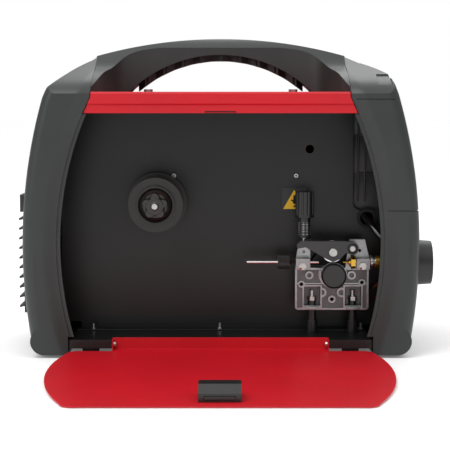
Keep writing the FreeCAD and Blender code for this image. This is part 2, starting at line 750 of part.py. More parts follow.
def hub_core():
    """Fifty-millimetre core for the wire spool, with a driving peg and ribs."""
    barrel = rod("hub_barrel", ("hub_x", "hub_back", "hub_z"), "-y", "hub_radius", "hub_back - disc_front - 5.5")
    collar = rod("hub_collar", ("hub_x", "hub_back", "hub_z"), "-y", "35", "3")
    peg = rod("hub_peg", ("hub_x", "hub_back", "hub_z - 30.4"), "-y", "4", "14")
    bore = rod("hub_bore", ("hub_x", "hub_back + 1", "hub_z"), "-y", "shaft_radius + 0.05", "80")
    hollow = cut("hub_hollow", rod("hub_well", ("hub_x", "hub_back - 6", "hub_z"), "-y", "hub_radius - 3", "60"),
                 rod("hub_sleeve", ("hub_x", "hub_back", "hub_z"), "-y", "shaft_radius + 3", "70"))
    ribs = [block("hub_rib_a", ("hub_x - 23.5", "disc_front + 7", "hub_z - 1"), ("hub_x + 23.5", "hub_back - 4", "hub_z + 1")),
            block("hub_rib_b", ("hub_x - 1", "disc_front + 7", "hub_z - 23.5"), ("hub_x + 1", "hub_back - 4", "hub_z + 23.5"))]
    core = fuse("hub_ribbed", cut("hub_shell", fuse("hub_solid", barrel, collar, peg), hollow), *ribs)
    return cut("hub_core", core, bore)


def hub_disc():
    """Retaining disc with a raised ring round its middle."""
    disc = rod("disc_plate", ("hub_x", "disc_front + 4", "hub_z"), "-y", "disc_radius", "4")
    rim = rod("disc_rim", ("hub_x", "disc_front + 1", "hub_z"), "-y", "22", "6")
    well = rod("disc_well", ("hub_x", "disc_front - 1.5", "hub_z"), "-y", "20", "6")
    bore = rod("disc_bore", ("hub_x", "disc_front + 6", "hub_z"), "-y", "4.05", "20")
    return cut("hub_disc", fuse("disc_blank", disc, rim), well, bore)


def hub_knob():
    """Five-lobed star knob on a skirt, with the stud's nut in its nose."""
    skirt = taper("knob_skirt", ("hub_x", "disc_front - 1.8", "hub_z"), "-y", "19.5", "14", "7")
    nose = taper("knob_nose", ("hub_x", "disc_front - 8", "hub_z"), "-y", "12", "9.5", "12")
    lobes = []
    for index in range(5):
        angle = 90 + 72 * index
        at = (f"hub_x + 10 * cos({angle})", "disc_front - 8", f"hub_z + 10 * sin({angle})")
        lobes.append(taper(f"knob_lobe_{index}", at, "-y", "5.5", "4.5", "11"))
    cap = taper("nut_cap", ("hub_x", "disc_front - 20", "hub_z"), "-y", "4.6", "3.2", "3.4")
    bore = rod("knob_bore", ("hub_x", "disc_front + 2", "hub_z"), "-y", "4.05", "23")
    return cut("hub_knob", fuse("knob_blank", skirt, nose, cap, *lobes), bore)


# ---------------------------------------------------------------- wire drive

def along_y(name, x, z, front, back, radius):
    """A bar parallel to Y between two formulas."""
    return rod(name, (x, back, z), "-y", radius, f"({back}) - ({front})")


def recessed_face():
    """What is taken from the casting's face inside its rim: round bosses and two ribs are left standing."""
    low = ("plate_left + 2.4", "plate_front - 1", "plate_bottom + 2.4")
    high = ("plate_right - 2.4", "plate_front + 2.6", "94.6")
    pocket = block("face_pocket", low, high)
    bosses = []
    for index, (x, z, radius) in enumerate(((94.5, 77.7, 4.2), (165.3, 79.7, 4.2), (130.3, 60, 4.6), (131, 89.7, 16.6))):
        bosses.append(along_y(f"face_boss_{index}", x, z, "plate_front - 2", "plate_front + 4", radius))
    for index, (x, z, radius) in enumerate(((103.7, 88.2, 4.8), (153.2, 88.2, 5.2), (118.3, 68, 5.8), (141.5, 68, 5.8))):
        ring = along_y(f"face_ring_{index}", x, z, "plate_front - 2", "plate_front + 4", radius)
        well = along_y(f"face_well_{index}", x, z, "plate_front - 3", "plate_front + 5", 0.55 * radius)
        bosses.append(cut(f"face_ring_cut_{index}", ring, well))
    bosses.append(block("face_rib", ("plate_left", "plate_front - 2", "77.6"), ("plate_right", "plate_front + 4", "79.4")))
    for name, x in (("left", "pillar_left_x"), ("right", "pillar_right_x")):
        bosses.append(block(f"pocket_rim_{name}", (f"{x} - 11.4", "plate_front - 2", "plate_bottom"),
                            (f"{x} + 11.4", "plate_front + 4", "76.8")))
    return cut("face_recess", pocket, *bosses)


def drive_plate():
    """Cast alloy frame with two posts, an open window between them and two foot pockets."""
    outline = [
        ("plate_left + 3", "plate_bottom"), ("plate_right - 3", "plate_bottom", "-4"),
        ("plate_right", "plate_bottom + 3"), ("plate_right", "110"), ("168.5", "plate_top"), ("150.5", "plate_top"),
        ("145.5", "97"), ("104.8", "97"), ("104.8", "117.2", "-8"), ("plate_left + 2.4", "117.2"),
        ("plate_left", "102"), ("plate_left", "plate_bottom + 3", "-4"),
    ]
    holes = [("97", "116", "1.7"), ("162.4", "117.4", "1.7"), ("94.5", "77.7", "2.2"), ("165.3", "79.7", "2.2"),
             ("130.3", "60", "2.2"), ("feed_x", "feed_z", "4.05"), ("arm_pivot_x", "arm_pivot_z", "3")]
    casting = sheet_plate("casting", "XZ_Plane", "-plate_back", "plate_back - plate_front", outline, holes)
    cuts = [block("lever_bay", ("80", "plate_front + 5.5", "106.8"), ("104.9", "plate_back + 1", "131"))]
    for name, x in (("left", "pillar_left_x"), ("right", "pillar_right_x")):
        cuts.append(block(f"foot_pocket_{name}", (f"{x} - 9.6", "plate_front - 1", "plate_bottom + 5"),
                          (f"{x} + 9.6", "plate_back - 1.5", "75")))
        cuts.append(rod(f"foot_hole_{name}", (x, "pillar_y", "plate_bottom - 1"), "z", "2.5", "8"))
    cuts.append(recessed_face())
    bosses = [along_y("arm_spacer", "arm_pivot_x", "arm_pivot_z", "arm_back + 0.3", "plate_front + 1", "5.5")]
    bore = along_y("arm_spacer_bore", "arm_pivot_x", "arm_pivot_z", "arm_back - 1", "plate_back + 1", "3")
    return cut("drive_plate", fuse("casting_with_boss", cut("casting_cut", casting, *cuts), *bosses), bore)


def gearbox():
    case = block("gear_case", ("106", "plate_back", "60"), ("160", "-30", "95.5"))
    bore = along_y("gear_bore", "feed_x", "feed_z", "plate_back - 1", "plate_back + 13", "4.05")
    return cut("gearbox", case, bore)


def feed_motor():
    can = along_y("motor_can", "feed_x", "feed_z", "-30", "36", "25")
    nose = along_y("motor_nose", "feed_x", "feed_z", "36", "40", "9")
    return fuse("feed_motor", can, nose)


def output_shaft():
    return along_y("output_shaft", "feed_x", "feed_z", "wire_y - 13", "plate_back + 12", "4")


def grooved_roller(name, x, z, radius, bore_radius):
    half = 5.0
    blank = along_y(f"{name}_blank", x, z, f"wire_y - {half}", f"wire_y + {half}", radius)
    groove = primitive("Part::Torus", f"{name}_groove", (x, "wire_y", z), "-y", Radius1=f"{radius} + 0.35", Radius2="0.8")
    bore = along_y(f"{name}_bore", x, z, f"wire_y - {half} - 1", f"wire_y + {half} + 1", bore_radius)
    return cut(name, blank, groove, bore)


def roller_cap():
    """Black hand cap that holds the feed roller on its shaft."""
    rim = along_y("cap_rim", "feed_x", "feed_z", "wire_y - 12", "wire_y - 5", "14.6")
    face = taper("cap_face", ("feed_x", "wire_y - 12", "feed_z"), "-y", "14.6", "12.6", "3")
    bore = along_y("cap_bore", "feed_x", "feed_z", "wire_y - 13", "wire_y - 4", "4")
    return cut("roller_cap", fuse("cap_blank", rim, face), bore)


def pressure_arm():
    """Swinging arm in front of the rollers, with a forked saddle behind it for the tension lever."""
    outline = [
        ("88.4", "121.6"), ("98", "123.4"), ("121.5", "110.0"), ("press_x", "press_z - 11.2"), ("138", "109.6"),
        ("144.5", "116.5"), ("arm_pivot_x + 1", "arm_pivot_z - 7.6", "-7.8"), ("arm_pivot_x + 2", "arm_pivot_z + 7.4"),
        ("144", "130.2"), ("92.5", "130.2"), ("88", "126.4"),
    ]
    holes = [("press_x", "press_z", "4"), ("arm_pivot_x", "arm_pivot_z", "3.05")]
    plate = sheet_plate("arm_plate", "XZ_Plane", "-arm_back", "arm_back - arm_front", outline, holes)
    saddle = block("arm_saddle", ("lever_x - 1", "arm_back", "125.2"), ("106.2", "lever_y + 8", "130"))
    slot = block("arm_slot", ("lever_x - 2", "lever_y - 2.9", "124"), ("lever_x + 3.2", "lever_y + 2.9", "131"))
    return cut("pressure_arm", fuse("arm_blank", plate, saddle), slot)


def drive_pins():
    """The arm's pivot pin with its washer, and the stub that the tension lever swings on."""
    shank = along_y("arm_pin_shank", "arm_pivot_x", "arm_pivot_z", "arm_front - 2.6", "plate_back", "3")
    washer = along_y("arm_pin_washer", "arm_pivot_x", "arm_pivot_z", "arm_front - 0.9", "arm_front - 0.3", "5.3")
    head = taper("arm_pin_head", ("arm_pivot_x", "arm_front - 0.9", "arm_pivot_z"), "-y", "3.4", "3", "2")
    stub = along_y("lever_stub", "lever_x", "lever_z", "plate_front + 5.5", "lever_y + 6", "2.5")
    collar = along_y("lever_washer", "lever_x", "lever_z", "lever_y + 4.8", "lever_y + 5.8", "4.2")
    return group("drive_pins", fuse("arm_pin", shank, washer, head), fuse("lever_pin", stub, collar))


def roller_axle():
    shank = along_y("axle_shank", "press_x", "press_z", "arm_front", "wire_y + 7", "4")
    head = taper("axle_head", ("press_x", "arm_front", "press_z"), "-y", "5.1", "4.6", "2.4")
    clip = along_y("axle_clip", "press_x", "press_z", "wire_y + 5.5", "wire_y + 6.3", "5.6")
    return fuse("roller_axle", shank, head, clip)


def tension_rod():
    eye = along_y("rod_eye", "lever_x", "lever_z", "lever_y - 4.4", "lever_y + 4.4", "4.5")
    stem = rod("rod_stem", ("lever_x", "lever_y", "lever_z + 2.8"), "z", "2.5", "66")
    bore = along_y("rod_bore", "lever_x", "lever_z", "lever_y - 5", "lever_y + 5", "2.55")
    return cut("tension_rod", fuse("rod_blank", eye, stem), bore)


def scale_sleeve():
    """Tube with pressure marks that stands on the arm's saddle round the spring."""
    tube = rod("sleeve_tube", ("lever_x", "lever_y", "131.6"), "z", "7", "23.6")
    bore = rod("sleeve_bore", ("lever_x", "lever_y", "133.1"), "z", "5.4", "30")
    hole = rod("sleeve_hole", ("lever_x", "lever_y", "130"), "z", "2.5", "5")
    return cut("scale_sleeve", tube, bore, hole)


def tension_spring():
    """Compression spring inside the sleeve."""
    helix = Part.makeHelix(2.6, 17.0, 3.65)
    wire_radius = 0.5
    start = Vector(3.65, 0, 0)
    ring = Part.Wire(Part.Circle(start, Vector(0, 1, 0), wire_radius).toShape())
    coil = Part.Wire(helix.Edges).makePipeShell([ring], True, True)
    coil.translate(Vector(dim("lever_x"), dim("lever_y"), 133.9))
    return feature("tension_spring", coil)


def tension_knob():
    """Fluted knob on the threaded end of the tension rod."""
    body = rod("tension_knob_body", ("lever_x", "lever_y", "155.6"), "z", "11", "30")
    flutes = []
    for index in range(10):
        angle = 36 * index
        at = (f"lever_x + 11.8 * cos({angle})", f"lever_y + 11.8 * sin({angle})", "158.5")
        flutes.append(rod(f"knob_flute_{index}", at, "z", "1.7", "40"))
    bore = rod("tension_knob_bore", ("lever_x", "lever_y", "154"), "z", "2.55", "28")
    return cut("tension_knob", body, bore, *flutes)


def clamp_blocks():
    left = block("clamp_left", ("87.5", "wire_y - 5", "96.2"), ("103.7", "plate_front", "109"))
    right = block("clamp_right", ("157.9", "wire_y - 5", "96.2"), ("173.3", "plate_front", "109"))
    tube_hole = rod("clamp_wire_hole", ("80", "wire_y", "wire_z"), "x", "2", "100")
    return group("clamp_blocks", cut("clamp_block_left", left, tube_hole), cut("clamp_block_right", right, tube_hole))


def drive_bolts():
    """Hex heads in the clamp blocks, and the studs and nuts that hold the plate on its pillars."""
    bolts = []
    for name, x, z in (("left", "95.1", "100.2"), ("right", "165", "100.6")):
        bolts.append(hexagon(f"clamp_bolt_{name}", (x, "wire_y - 5", z), "-y", "8", "3.4"))
    for name, x in (("left", "pillar_left_x"), ("right", "pillar_right_x")):
        stud = rod(f"stud_{name}", (x, "pillar_y", "38"), "z", "2.5", "32")
        nut = hexagon(f"stud_nut_{name}", (x, "pillar_y", "58"), "z", "9", "4.6")
        bolts.append(fuse(f"pillar_bolt_{name}", stud, nut))
    return group("drive_bolts", *bolts)


def inlet_guide():
    """Steel entry tube in a knurled black collar."""
    tube = rod("inlet_tube", ("30.5", "wire_y", "wire_z"), "x", "1.9", "36.5")
    liner = rod("inlet_liner", ("80", "wire_y", "wire_z"), "x", "2", "34")
    return group("inlet_guide", tube, liner)


def inlet_collar():
    sleeve = rod("collar_sleeve", ("66.6", "wire_y", "wire_z"), "x", "7.65", "13.4")
    neck = rod("collar_neck", ("80", "wire_y", "wire_z"), "x", "3.25", "7.5")
    bore = rod("collar_bore", ("66", "wire_y", "wire_z"), "x", "1.9", "14")
    liner_bore = rod("collar_liner_bore", ("80", "wire_y", "wire_z"), "x", "2", "10")
    return cut("inlet_collar", fuse("collar_blank", sleeve, neck), bore, liner_bore)


def outlet_guide():
    """Brass outlet nut with its capillary, and the rings between the drive and the torch socket."""
    nut = hexagon("outlet_nut", ("151.4", "wire_y", "wire_z"), "x", "13.5", "5.3")
    shoulder = rod("outlet_shoulder", ("149", "wire_y", "wire_z"), "x", "4", "2.4")
    tip = rod("outlet_tip", ("142.5", "wire_y", "wire_z"), "x", "1.25", "7")
    pipe = rod("outlet_pipe", ("156.7", "wire_y", "wire_z"), "x", "2", "18")
    ring = rod("outlet_ring", ("174", "wire_y", "wire_z"), "x", "8", "2.6")
    spacer = rod("outlet_spacer", ("176.6", "wire_y", "wire_z"), "x", "5.5", "3")
    brass = rod("outlet_brass", ("179.6", "wire_y", "wire_z"), "x", "7.6", "5")
    end = taper("outlet_end", ("184.6", "wire_y", "wire_z"), "x", "6", "4", "3.4")
    return fuse("outlet_guide", nut, shoulder, tip, pipe, ring, spacer, brass, end)


def pillars():
    """Two stepped plastic pillars under the drive, and the washers under its nuts."""
    legs = []
    for name, x in (("left", "pillar_left_x"), ("right", "pillar_right_x")):
        lower = rod(f"pillar_low_{name}", (x, "pillar_y", "floor_top"), "z", "6.5", "14.6")
        upper = rod(f"pillar_up_{name}", (x, "pillar_y", "35"), "z", "5", "plate_bottom - 35")
        bore = rod(f"pillar_bore_{name}", (x, "pillar_y", "38"), "z", "2.5", "20")
        legs.append(cut(f"pillar_{name}", fuse(f"pillar_blank_{name}", lower, upper), bore))
        washer = rod(f"washer_{name}", (x, "pillar_y", "plate_bottom + 5"), "z", "4.4", "5.6")
        washer_bore = rod(f"washer_bore_{name}", (x, "pillar_y", "50"), "z", "2.5", "12")
        legs.append(cut(f"pillar_washer_{name}", washer, washer_bore))
    return group("pillars", *legs)


# ---------------------------------------------------------------- front panel

DINSE_Y = (0.0, 58.0)
LEAN = math.atan2(dim("fascia_x") - dim("fascia_top_x"), dim("fascia_top_z") - dim("fascia_bend_z"))
PANEL_NORMAL = Vector(math.cos(LEAN), 0, math.sin(LEAN))


def panel_point(z, y=0.0, lift=0.0):
    """A point on the leaning part of the front panel, lifted off its face."""
    share = (z - dim("fascia_bend_z")) / (dim("fascia_top_z") - dim("fascia_bend_z"))
    x = dim("fascia_x") + share * (dim("fascia_top_x") - dim("fascia_x"))
    return Vector(x, y, z) + PANEL_NORMAL * lift


def front_fascia():
    """Recessed control panel: upright at the sockets, leaning back above the bend."""
    half = dim("fascia_half")
    low, bend, high = dim("fascia_low_z"), dim("fascia_bend_z"), dim("fascia_top_z")
    face, top_face = dim("fascia_x"), dim("fascia_top_x")
    crown = dim("front_crown")
    middle = (low + high) / 2
    skin = 1.2
    blank = slab([(face - 3, low), (side_x(low, crown) - skin, low),
                  ("arc", side_x(middle, crown) - skin, middle), (side_x(high, crown) - skin, high),
                  (top_face - 3, high), (face - 3, bend)], -half, half)
    recess = slab([(face, low + 3), (260, low + 3), (260, high - 3), (top_face, high - 3), (face, bend)],
                  3 - half, half - 3)
    panel = blank.cut(recess)
    torch_hole = Part.makeCylinder(12, 40, Vector(190, dim("wire_y"), dim("wire_z")), Vector(1, 0, 0))
    panel = panel.cut(torch_hole)
    for y in DINSE_Y:
        panel = panel.cut(Part.makeCylinder(12, 40, Vector(190, y, dim("dinse_z")), Vector(1, 0, 0)))
    for side in (-1, 1):
        shaft = Part.makeCylinder(3.05, 60, panel_point(dim("knob_z"), side * dim("knob_spacing") / 2, -30), PANEL_NORMAL)
        panel = panel.cut(shaft)
    return feature("front_fascia", panel)


def display_window():
    pane = Part.makeBox(2.0, 56, 22, Vector(0, -28, 0))
    pane = pane.makeFillet(2.0, [edge for edge in pane.Edges if abs(edge.tangentAt(0).x) > 0.9])
    pane.Placement = Placement(panel_point(238), Rotation(Vector(1, 0, 0), PANEL_NORMAL))
    return feature("display_window", pane)


def control_knob(name, side):
    """Round pointer knob; its spindle runs in the panel's hole."""
    base = panel_point(dim("knob_z"), side * dim("knob_spacing") / 2, 0.6)
    skirt = Part.makeCone(13.5, 12.5, 3.0, Vector(), Vector(0, 0, 1))
    grip = Part.makeCone(10.5, 9.5, 11.0, Vector(0, 0, 3), Vector(0, 0, 1))
    ridge = Part.makeBox(3.0, 11.0, 1.2, Vector(-1.5, 0, 13.6))
    spindle = Part.makeCylinder(3.0, 12.0, Vector(0, 0, -12), Vector(0, 0, 1))
    knob = skirt.fuse([grip, ridge.common(Part.makeCylinder(9.0, 30)), spindle]).removeSplitter()
    knob.Placement = Placement(base, Rotation(Vector(0, 0, 1), PANEL_NORMAL))
    return feature(name, knob)


def torch_collar():
    """Black moulded collar of the central torch socket."""
    flange = rod("torch_flange", ("fascia_x", "wire_y", "wire_z"), "x", "torch_radius", "5")
    tube = taper("torch_tube", ("fascia_x + 5", "wire_y", "wire_z"), "x", "torch_radius - 1", "torch_radius - 2.5",
                 "torch_front - fascia_x - 5")
    bore = rod("torch_bore", ("fascia_x + 4", "wire_y", "wire_z"), "x", "20", "40")
    core_hole = rod("torch_core_hole", ("fascia_x - 1", "wire_y", "wire_z"), "x", "10", "20")
    return cut("torch_collar", fuse("torch_blank", flange, tube), bore, core_hole)


def torch_core():
    """Brass torch socket: threaded nose, current sleeve and rear stub with a bore for the wire."""
    stub = rod("core_stub", ("190", "wire_y", "wire_z"), "x", "6", "8")
    body = rod("core_body", ("198", "wire_y", "wire_z"), "x", "10", "30")
    nose = rod("core_nose", ("228", "wire_y", "wire_z"), "x", "12", "12")
    bore = rod("core_bore", ("189", "wire_y", "wire_z"), "x", "2", "60")
    socket = rod("core_socket", ("222", "wire_y", "wire_z"), "x", "5", "20")
    pins = [rod(f"core_pin_hole_{side}", ("232", f"wire_y + {side} * 8.5", "wire_z"), "x", "1.2", "10") for side in (-1, 1)]
    flange = rod("core_flange", ("fascia_x - 6", "wire_y", "wire_z"), "x", "15", "3")
    return cut("torch_core", fuse("core_blank", stub, body, nose, flange), bore, socket, *pins)


def dinse_sockets():
    sockets = []
    for index, y in enumerate(DINSE_Y):
        flange = rod(f"dinse_flange_{index}", ("fascia_x", y, "dinse_z"), "x", "19", "4")
        tube = taper(f"dinse_tube_{index}", ("fascia_x + 4", y, "dinse_z"), "x", "16.5", "15.5", "7")
        bore = rod(f"dinse_bore_{index}", ("fascia_x - 1", y, "dinse_z"), "x", "9.5", "30")
        sockets.append(cut(f"dinse_socket_{index}", fuse(f"dinse_blank_{index}", flange, tube), bore))
    return group("dinse_sockets", *sockets)


def dinse_inserts():
    inserts = []
    for index, y in enumerate(DINSE_Y):
        sleeve = rod(f"insert_sleeve_{index}", ("fascia_x - 22", y, "dinse_z"), "x", "9.5", "30")
        bore = rod(f"insert_bore_{index}", ("fascia_x - 14", y, "dinse_z"), "x", "6.5", "40")
        inserts.append(cut(f"dinse_insert_{index}", sleeve, bore))
    return group("dinse_inserts", *inserts)


# ---------------------------------------------------------------- rear panel

def rear_grille():
    """Louvred fan grille: a frame with sloping slats."""
    fan_y = dim("fan_y")
    tip = dim("louvre_tip")
    slats = []
    for index in range(10):
        z = dim("louvre_first") + index * dim("louvre_pitch")
        outline = [(tip, z - 1.2), (tip, z + 1.2), (-218, z + 5.9), (-218, z + 3.1)]
        slats.append(slab(outline, fan_y - 62, fan_y + 62))
    frame = Part.makeBox(12, 130, 116, Vector(-230, fan_y - 65, 44))
    frame = frame.cut(Part.makeBox(40, 122, 108, Vector(-250, fan_y - 61, 48)))
    return feature("rear_grille", frame.multiFuse(slats).removeSplitter())


def connection_recess():
    """Cup in the rear wall that holds the mains gland and the gas inlet."""
    cup = block("recess_block", ("-227", "66.5", "50"), ("-208", "106.5", "130"))
    hollow = block("recess_hollow", ("-240", "69.5", "53"), ("-211", "103.5", "127"))
    gland_hole = rod("gland_hole", ("-216", "gland_y", "gland_z"), "x", "9.5", "20")
    gas_hole = rod("gas_hole", ("-216", "gland_y", "gas_z"), "x", "5", "20")
    return cut("connection_recess", cup, hollow, gland_hole, gas_hole)


def cable_gland():
    body = rod("gland_body", ("-202", "gland_y", "gland_z"), "-x", "9.5", "14")
    nut = hexagon("gland_nut", ("-211", "gland_y", "gland_z"), "-x", "22", "5")
    cap = taper("gland_cap", ("-216", "gland_y", "gland_z"), "-x", "10.5", "7.5", "9")
    bore = rod("gland_bore", ("-196", "gland_y", "gland_z"), "-x", "4.5", "40")
    return cut("cable_gland", fuse("gland_blank", body, nut, cap), bore)


def gas_inlet():
    body = rod("inlet_body", ("-196", "gland_y", "gas_z"), "-x", "5", "16")
    nut = hexagon("inlet_nut", ("-211", "gland_y", "gas_z"), "-x", "14", "5")
    barbs = [taper(f"inlet_barb_{index}", (f"-216 - {4 * index}", "gland_y", "gas_z"), "-x", "4.2", "3", "4")
             for index in range(3)]
    bore = rod("inlet_bore", ("-186", "gland_y", "gas_z"), "-x", "1.8", "50")
    return cut("gas_inlet", fuse("inlet_blank", body, nut, *barbs), bore)


def switch_frame():
    frame = block("switch_block", ("-234", "switch_y - 15", "switch_z - 10"), ("-214", "switch_y + 15", "switch_z + 10"))
    well = block("switch_well", ("-245", "switch_y - 12.5", "switch_z - 8"), ("-220", "switch_y + 12.5", "switch_z + 8"))
    pivot = rod("switch_pivot_hole", ("-224", "switch_y - 14", "switch_z"), "y", "1.25", "28")
    return cut("switch_frame", frame, well, pivot)


def switch_rocker():
    """Rocker that tilts about its middle; modelled in the off position."""
    y, z = dim("switch_y"), dim("switch_z")
    tilt = 6.0
    profile = [Vector(-223, 0, -6.0), Vector(-232, 0, -6.4), Vector(-230.5, 0, 0), Vector(-232, 0, 6.4), Vector(-223, 0, 6.0)]
    face = Part.Face(Part.makePolygon(profile + profile[:1]))
    rocker = face.extrude(Vector(0, 23, 0))
    rocker.translate(Vector(0, y - 11.5, z))
    rocker.rotate(Vector(-224, y, z), Vector(0, 1, 0), tilt)
    pivot = Part.makeCylinder(1.2, 27, Vector(-224, y - 13.5, z), Vector(0, 1, 0))
    return feature("switch_rocker", rocker.fuse(pivot))


def fan_frame():
    half = 60
    centre = Vector(-217, dim("fan_y"), dim("fan_z"))
    box = Part.makeBox(25, 2 * half, 2 * half, centre - Vector(0, half, half))
    duct = Part.makeCylinder(57, 30, centre - Vector(1, 0, 0), Vector(1, 0, 0))
    hub = Part.makeCylinder(20, 3, centre + Vector(22, 0, 0), Vector(1, 0, 0))
    pin = Part.makeCylinder(2, 18, centre + Vector(4.5, 0, 0), Vector(1, 0, 0))
    struts = []
    for angle in (45, 135, 225, 315):
        strut = Part.makeBox(3, 5, 62, centre + Vector(22, -2.5, 0))
        strut.rotate(centre, Vector(1, 0, 0), angle)
        struts.append(strut)
    return feature("fan_frame", box.cut(duct).multiFuse([hub, pin] + struts).removeSplitter())


def fan_rotor():
    centre = Vector(-217, dim("fan_y"), dim("fan_z"))
    hub = Part.makeCylinder(19, 16, centre + Vector(4, 0, 0), Vector(1, 0, 0))
    blades = []
    for index in range(7):
        blade = Part.makeBox(1.6, 20, 38, Vector(-0.8, -10, 17))
        blade.rotate(Vector(0, 0, 0), Vector(0, 0, 1), -38)
        blade.translate(centre + Vector(12, 0, 0))
        blade.rotate(centre, Vector(1, 0, 0), 360 / 7 * index)
        blades.append(blade)
    bore = Part.makeCylinder(2.05, 40, centre + Vector(3, 0, 0), Vector(1, 0, 0))
    return feature("fan_rotor", hub.multiFuse(blades).cut(bore).removeSplitter())


# ---------------------------------------------------------------- electronics bay

def power_board():
    """Circuit board on standoffs with its three storage capacitors."""
    board = block("board_blank", ("-120", "-20", "60"), ("90", "-18.4", "270"))
    notch = block("board_notch", ("60", "-30", "50"), ("100", "-10", "125"))
    posts = [rod(f"standoff_{x}_{z}", (x, "partition_sheet - partition_front", z), "y", "3", "6.5")
             for x in (-112, 82) for z in (134, 262)]
    cans = [rod(f"capacitor_{index}", (-95 + 34 * index, "-18.4", "100"), "y", "15", "42") for index in range(3)]
    return group("power_board", cut("circuit_board", board, notch), *posts, *cans)


def heat_sinks():
    sinks = []
    for index, x in enumerate((-110, -20)):
        plate = block(f"sink_base_{index}", (x, "-18.4", "150"), (x + 70, "-13.4", "240"))
        fins = [block(f"sink_fin_{index}_{fin}", (x, "-13.4", 152 + 11 * fin), (x + 70, "22", 154 + 11 * fin)) for fin in range(8)]
        sinks.append(fuse(f"heat_sink_{index}", plate, *fins))
    return group("heat_sinks", *sinks)


def transformer_and_choke():
    """Main transformer and output choke, each a wound coil in a laminated frame."""
    frame = block("core_frame", ("-100", "50", "floor_top"), ("-10", "100", "105"))
    windows = [block(f"core_window_{x}", (x, "45", "36"), (x + 20, "105", "89")) for x in (-85, -45)]
    coil = rod("coil", ("-55", "75", "36"), "z", "18", "53")
    choke_core = block("choke_core", ("20", "50", "floor_top"), ("80", "95", "80"))
    choke_coil = rod("choke_coil", ("50", "45", "50"), "y", "24", "55")
    transformer = fuse("transformer", cut("core_cut", frame, *windows), coil)
    return group("transformer_and_choke", transformer, fuse("output_choke", choke_core, choke_coil))


def gas_valve():
    block_part = block("valve_block", ("-186", "-18", "190"), ("-160", "4", "212"))
    coil = rod("valve_coil", ("-173", "-7", "212"), "z", "10", "26")
    foot = block("valve_foot", ("-182", "partition_sheet - partition_front", "194"), ("-164", "-18", "208"))
    return fuse("gas_valve", block_part, coil, foot)


# ---------------------------------------------------------------- internal leads, straight runs joined by arcs

def lead(name, radius, route):
    """A round lead along hand-picked points: runs joined by tangent arcs as large as they allow."""
    points = [Vector(*point) for point in route]
    edges = []
    last = points[0]
    for before, corner, after in zip(points, points[1:], points[2:]):
        way_in = (corner - before).normalize()
        way_out = (after - corner).normalize()
        turn = way_in.getAngle(way_out)
        setback = 0.45 * min((corner - before).Length, (after - corner).Length)
        bend = setback / math.tan(turn / 2)
        print(f"{name}: bend radius {bend:.1f} mm")
        start = corner - way_in * setback
        end = corner + way_out * setback
        bisector = (way_out - way_in).normalize()
        centre = corner + bisector * math.hypot(bend, setback)
        middle = centre - bisector * bend
        edges.append(Part.makeLine(last, start))
        edges.append(Part.Arc(start, middle, end).toShape())
        last = end
    edges.append(Part.makeLine(last, points[-1]))
    path = Part.Wire(edges)
    ring = Part.Wire(Part.Circle(points[0], points[1] - points[0], radius).toShape())
    tube = path.makePipeShell([ring], True, True)
    expected = math.pi * radius ** 2 * path.Length
    if abs(tube.Volume - expected) > 0.02 * expected:
        raise RuntimeError(f"{name}: tube volume {tube.Volume:.0f}, expected {expected:.0f}")
    return feature(name, tube)


def internal_leads():
    """Two power cables through the grommet and two thin trigger leads, all ending at the torch socket's flange."""
    routes = {
        "power_cable_a": (3.5, [(170.6, 8, 154.4), (170.6, -40, 154.4), (178, -54, 143.5), (189, -64, 130.5),
                                (201, -71, 120), (210.6, -73, 118.6)]),
        "power_cable_b": (3.0, [(177.4, 8, 149.6), (177.4, -38, 149.6), (184, -50, 138), (194, -58, 122),
                                (209.2, -60.6, 112.2)]),
        "trigger_lead_a": (1.3, [(176, -28.2, 66), (176, -38, 66.5), (181, -50, 72), (189, -60, 82), (199, -67, 90),
                                 (211, -70, 91.9)]),
        "trigger_lead_b": (1.3, [(181, -28.2, 56), (181, -38, 57), (184, -52, 62), (192, -64, 73), (201, -73, 84),
                                 (210.6, -77, 90.6)]),
    }
    return group("internal_leads", *[lead(name, radius, route) for name, (radius, route) in routes.items()])


def cable_grommet():
    ring = rod("grommet_ring", ("174", "-31", "152"), "y", "11.5", "7.5")
    groove = cut("grommet_groove", rod("groove_outer", ("174", "-28", "152"), "y", "12", "1.5"),
                 rod("groove_inner", ("174", "-29", "152"), "y", "9", "4"))
    bore = rod("grommet_bore", ("174", "-35", "152"), "y", "7.8", "20")
    return cut("cable_grommet", ring, groove, bore)


# ---------------------------------------------------------------- the parts list

NODES = [
    front_shell(), rear_shell(), handle(), cover(), case_screws(), base_tray(), feet(), partition(), warning_plate(),
    floor_pins(), hinge_screws(),
    door_panel(), latch_housing(), latch_bolt(),
    hub_shaft(), hub_core(), hub_disc(), hub_knob(),
    drive_plate(), gearbox(), feed_motor(), output_shaft(),
    grooved_roller("feed_roller", "feed_x", "feed_z", "feed_radius", "4"),
    grooved_roller("pressure_roller", "press_x", "press_z", "press_radius", "4.05"),
    roller_cap(), pressure_arm(), drive_pins(), roller_axle(), tension_rod(), scale_sleeve(), tension_spring(),
    tension_knob(), clamp_blocks(), drive_bolts(), inlet_guide(), inlet_collar(), outlet_guide(), pillars(),
    front_fascia(), display_window(), control_knob("voltage_knob", -1), control_knob("wire_speed_knob", 1),
    torch_collar(), torch_core(), dinse_sockets(), dinse_inserts(),
    rear_grille(), connection_recess(), cable_gland(), gas_inlet(), switch_frame(), switch_rocker(),
    fan_frame(), fan_rotor(), power_board(), heat_sinks(), transformer_and_choke(), gas_valve(),
    internal_leads(), cable_grommet(),
]

doc.recompute()
for item in doc.Objects:
    if "Invalid" in item.State or "Error" in item.State:
        raise RuntimeError(f"{item.Name} did not recompute: {item.State}")

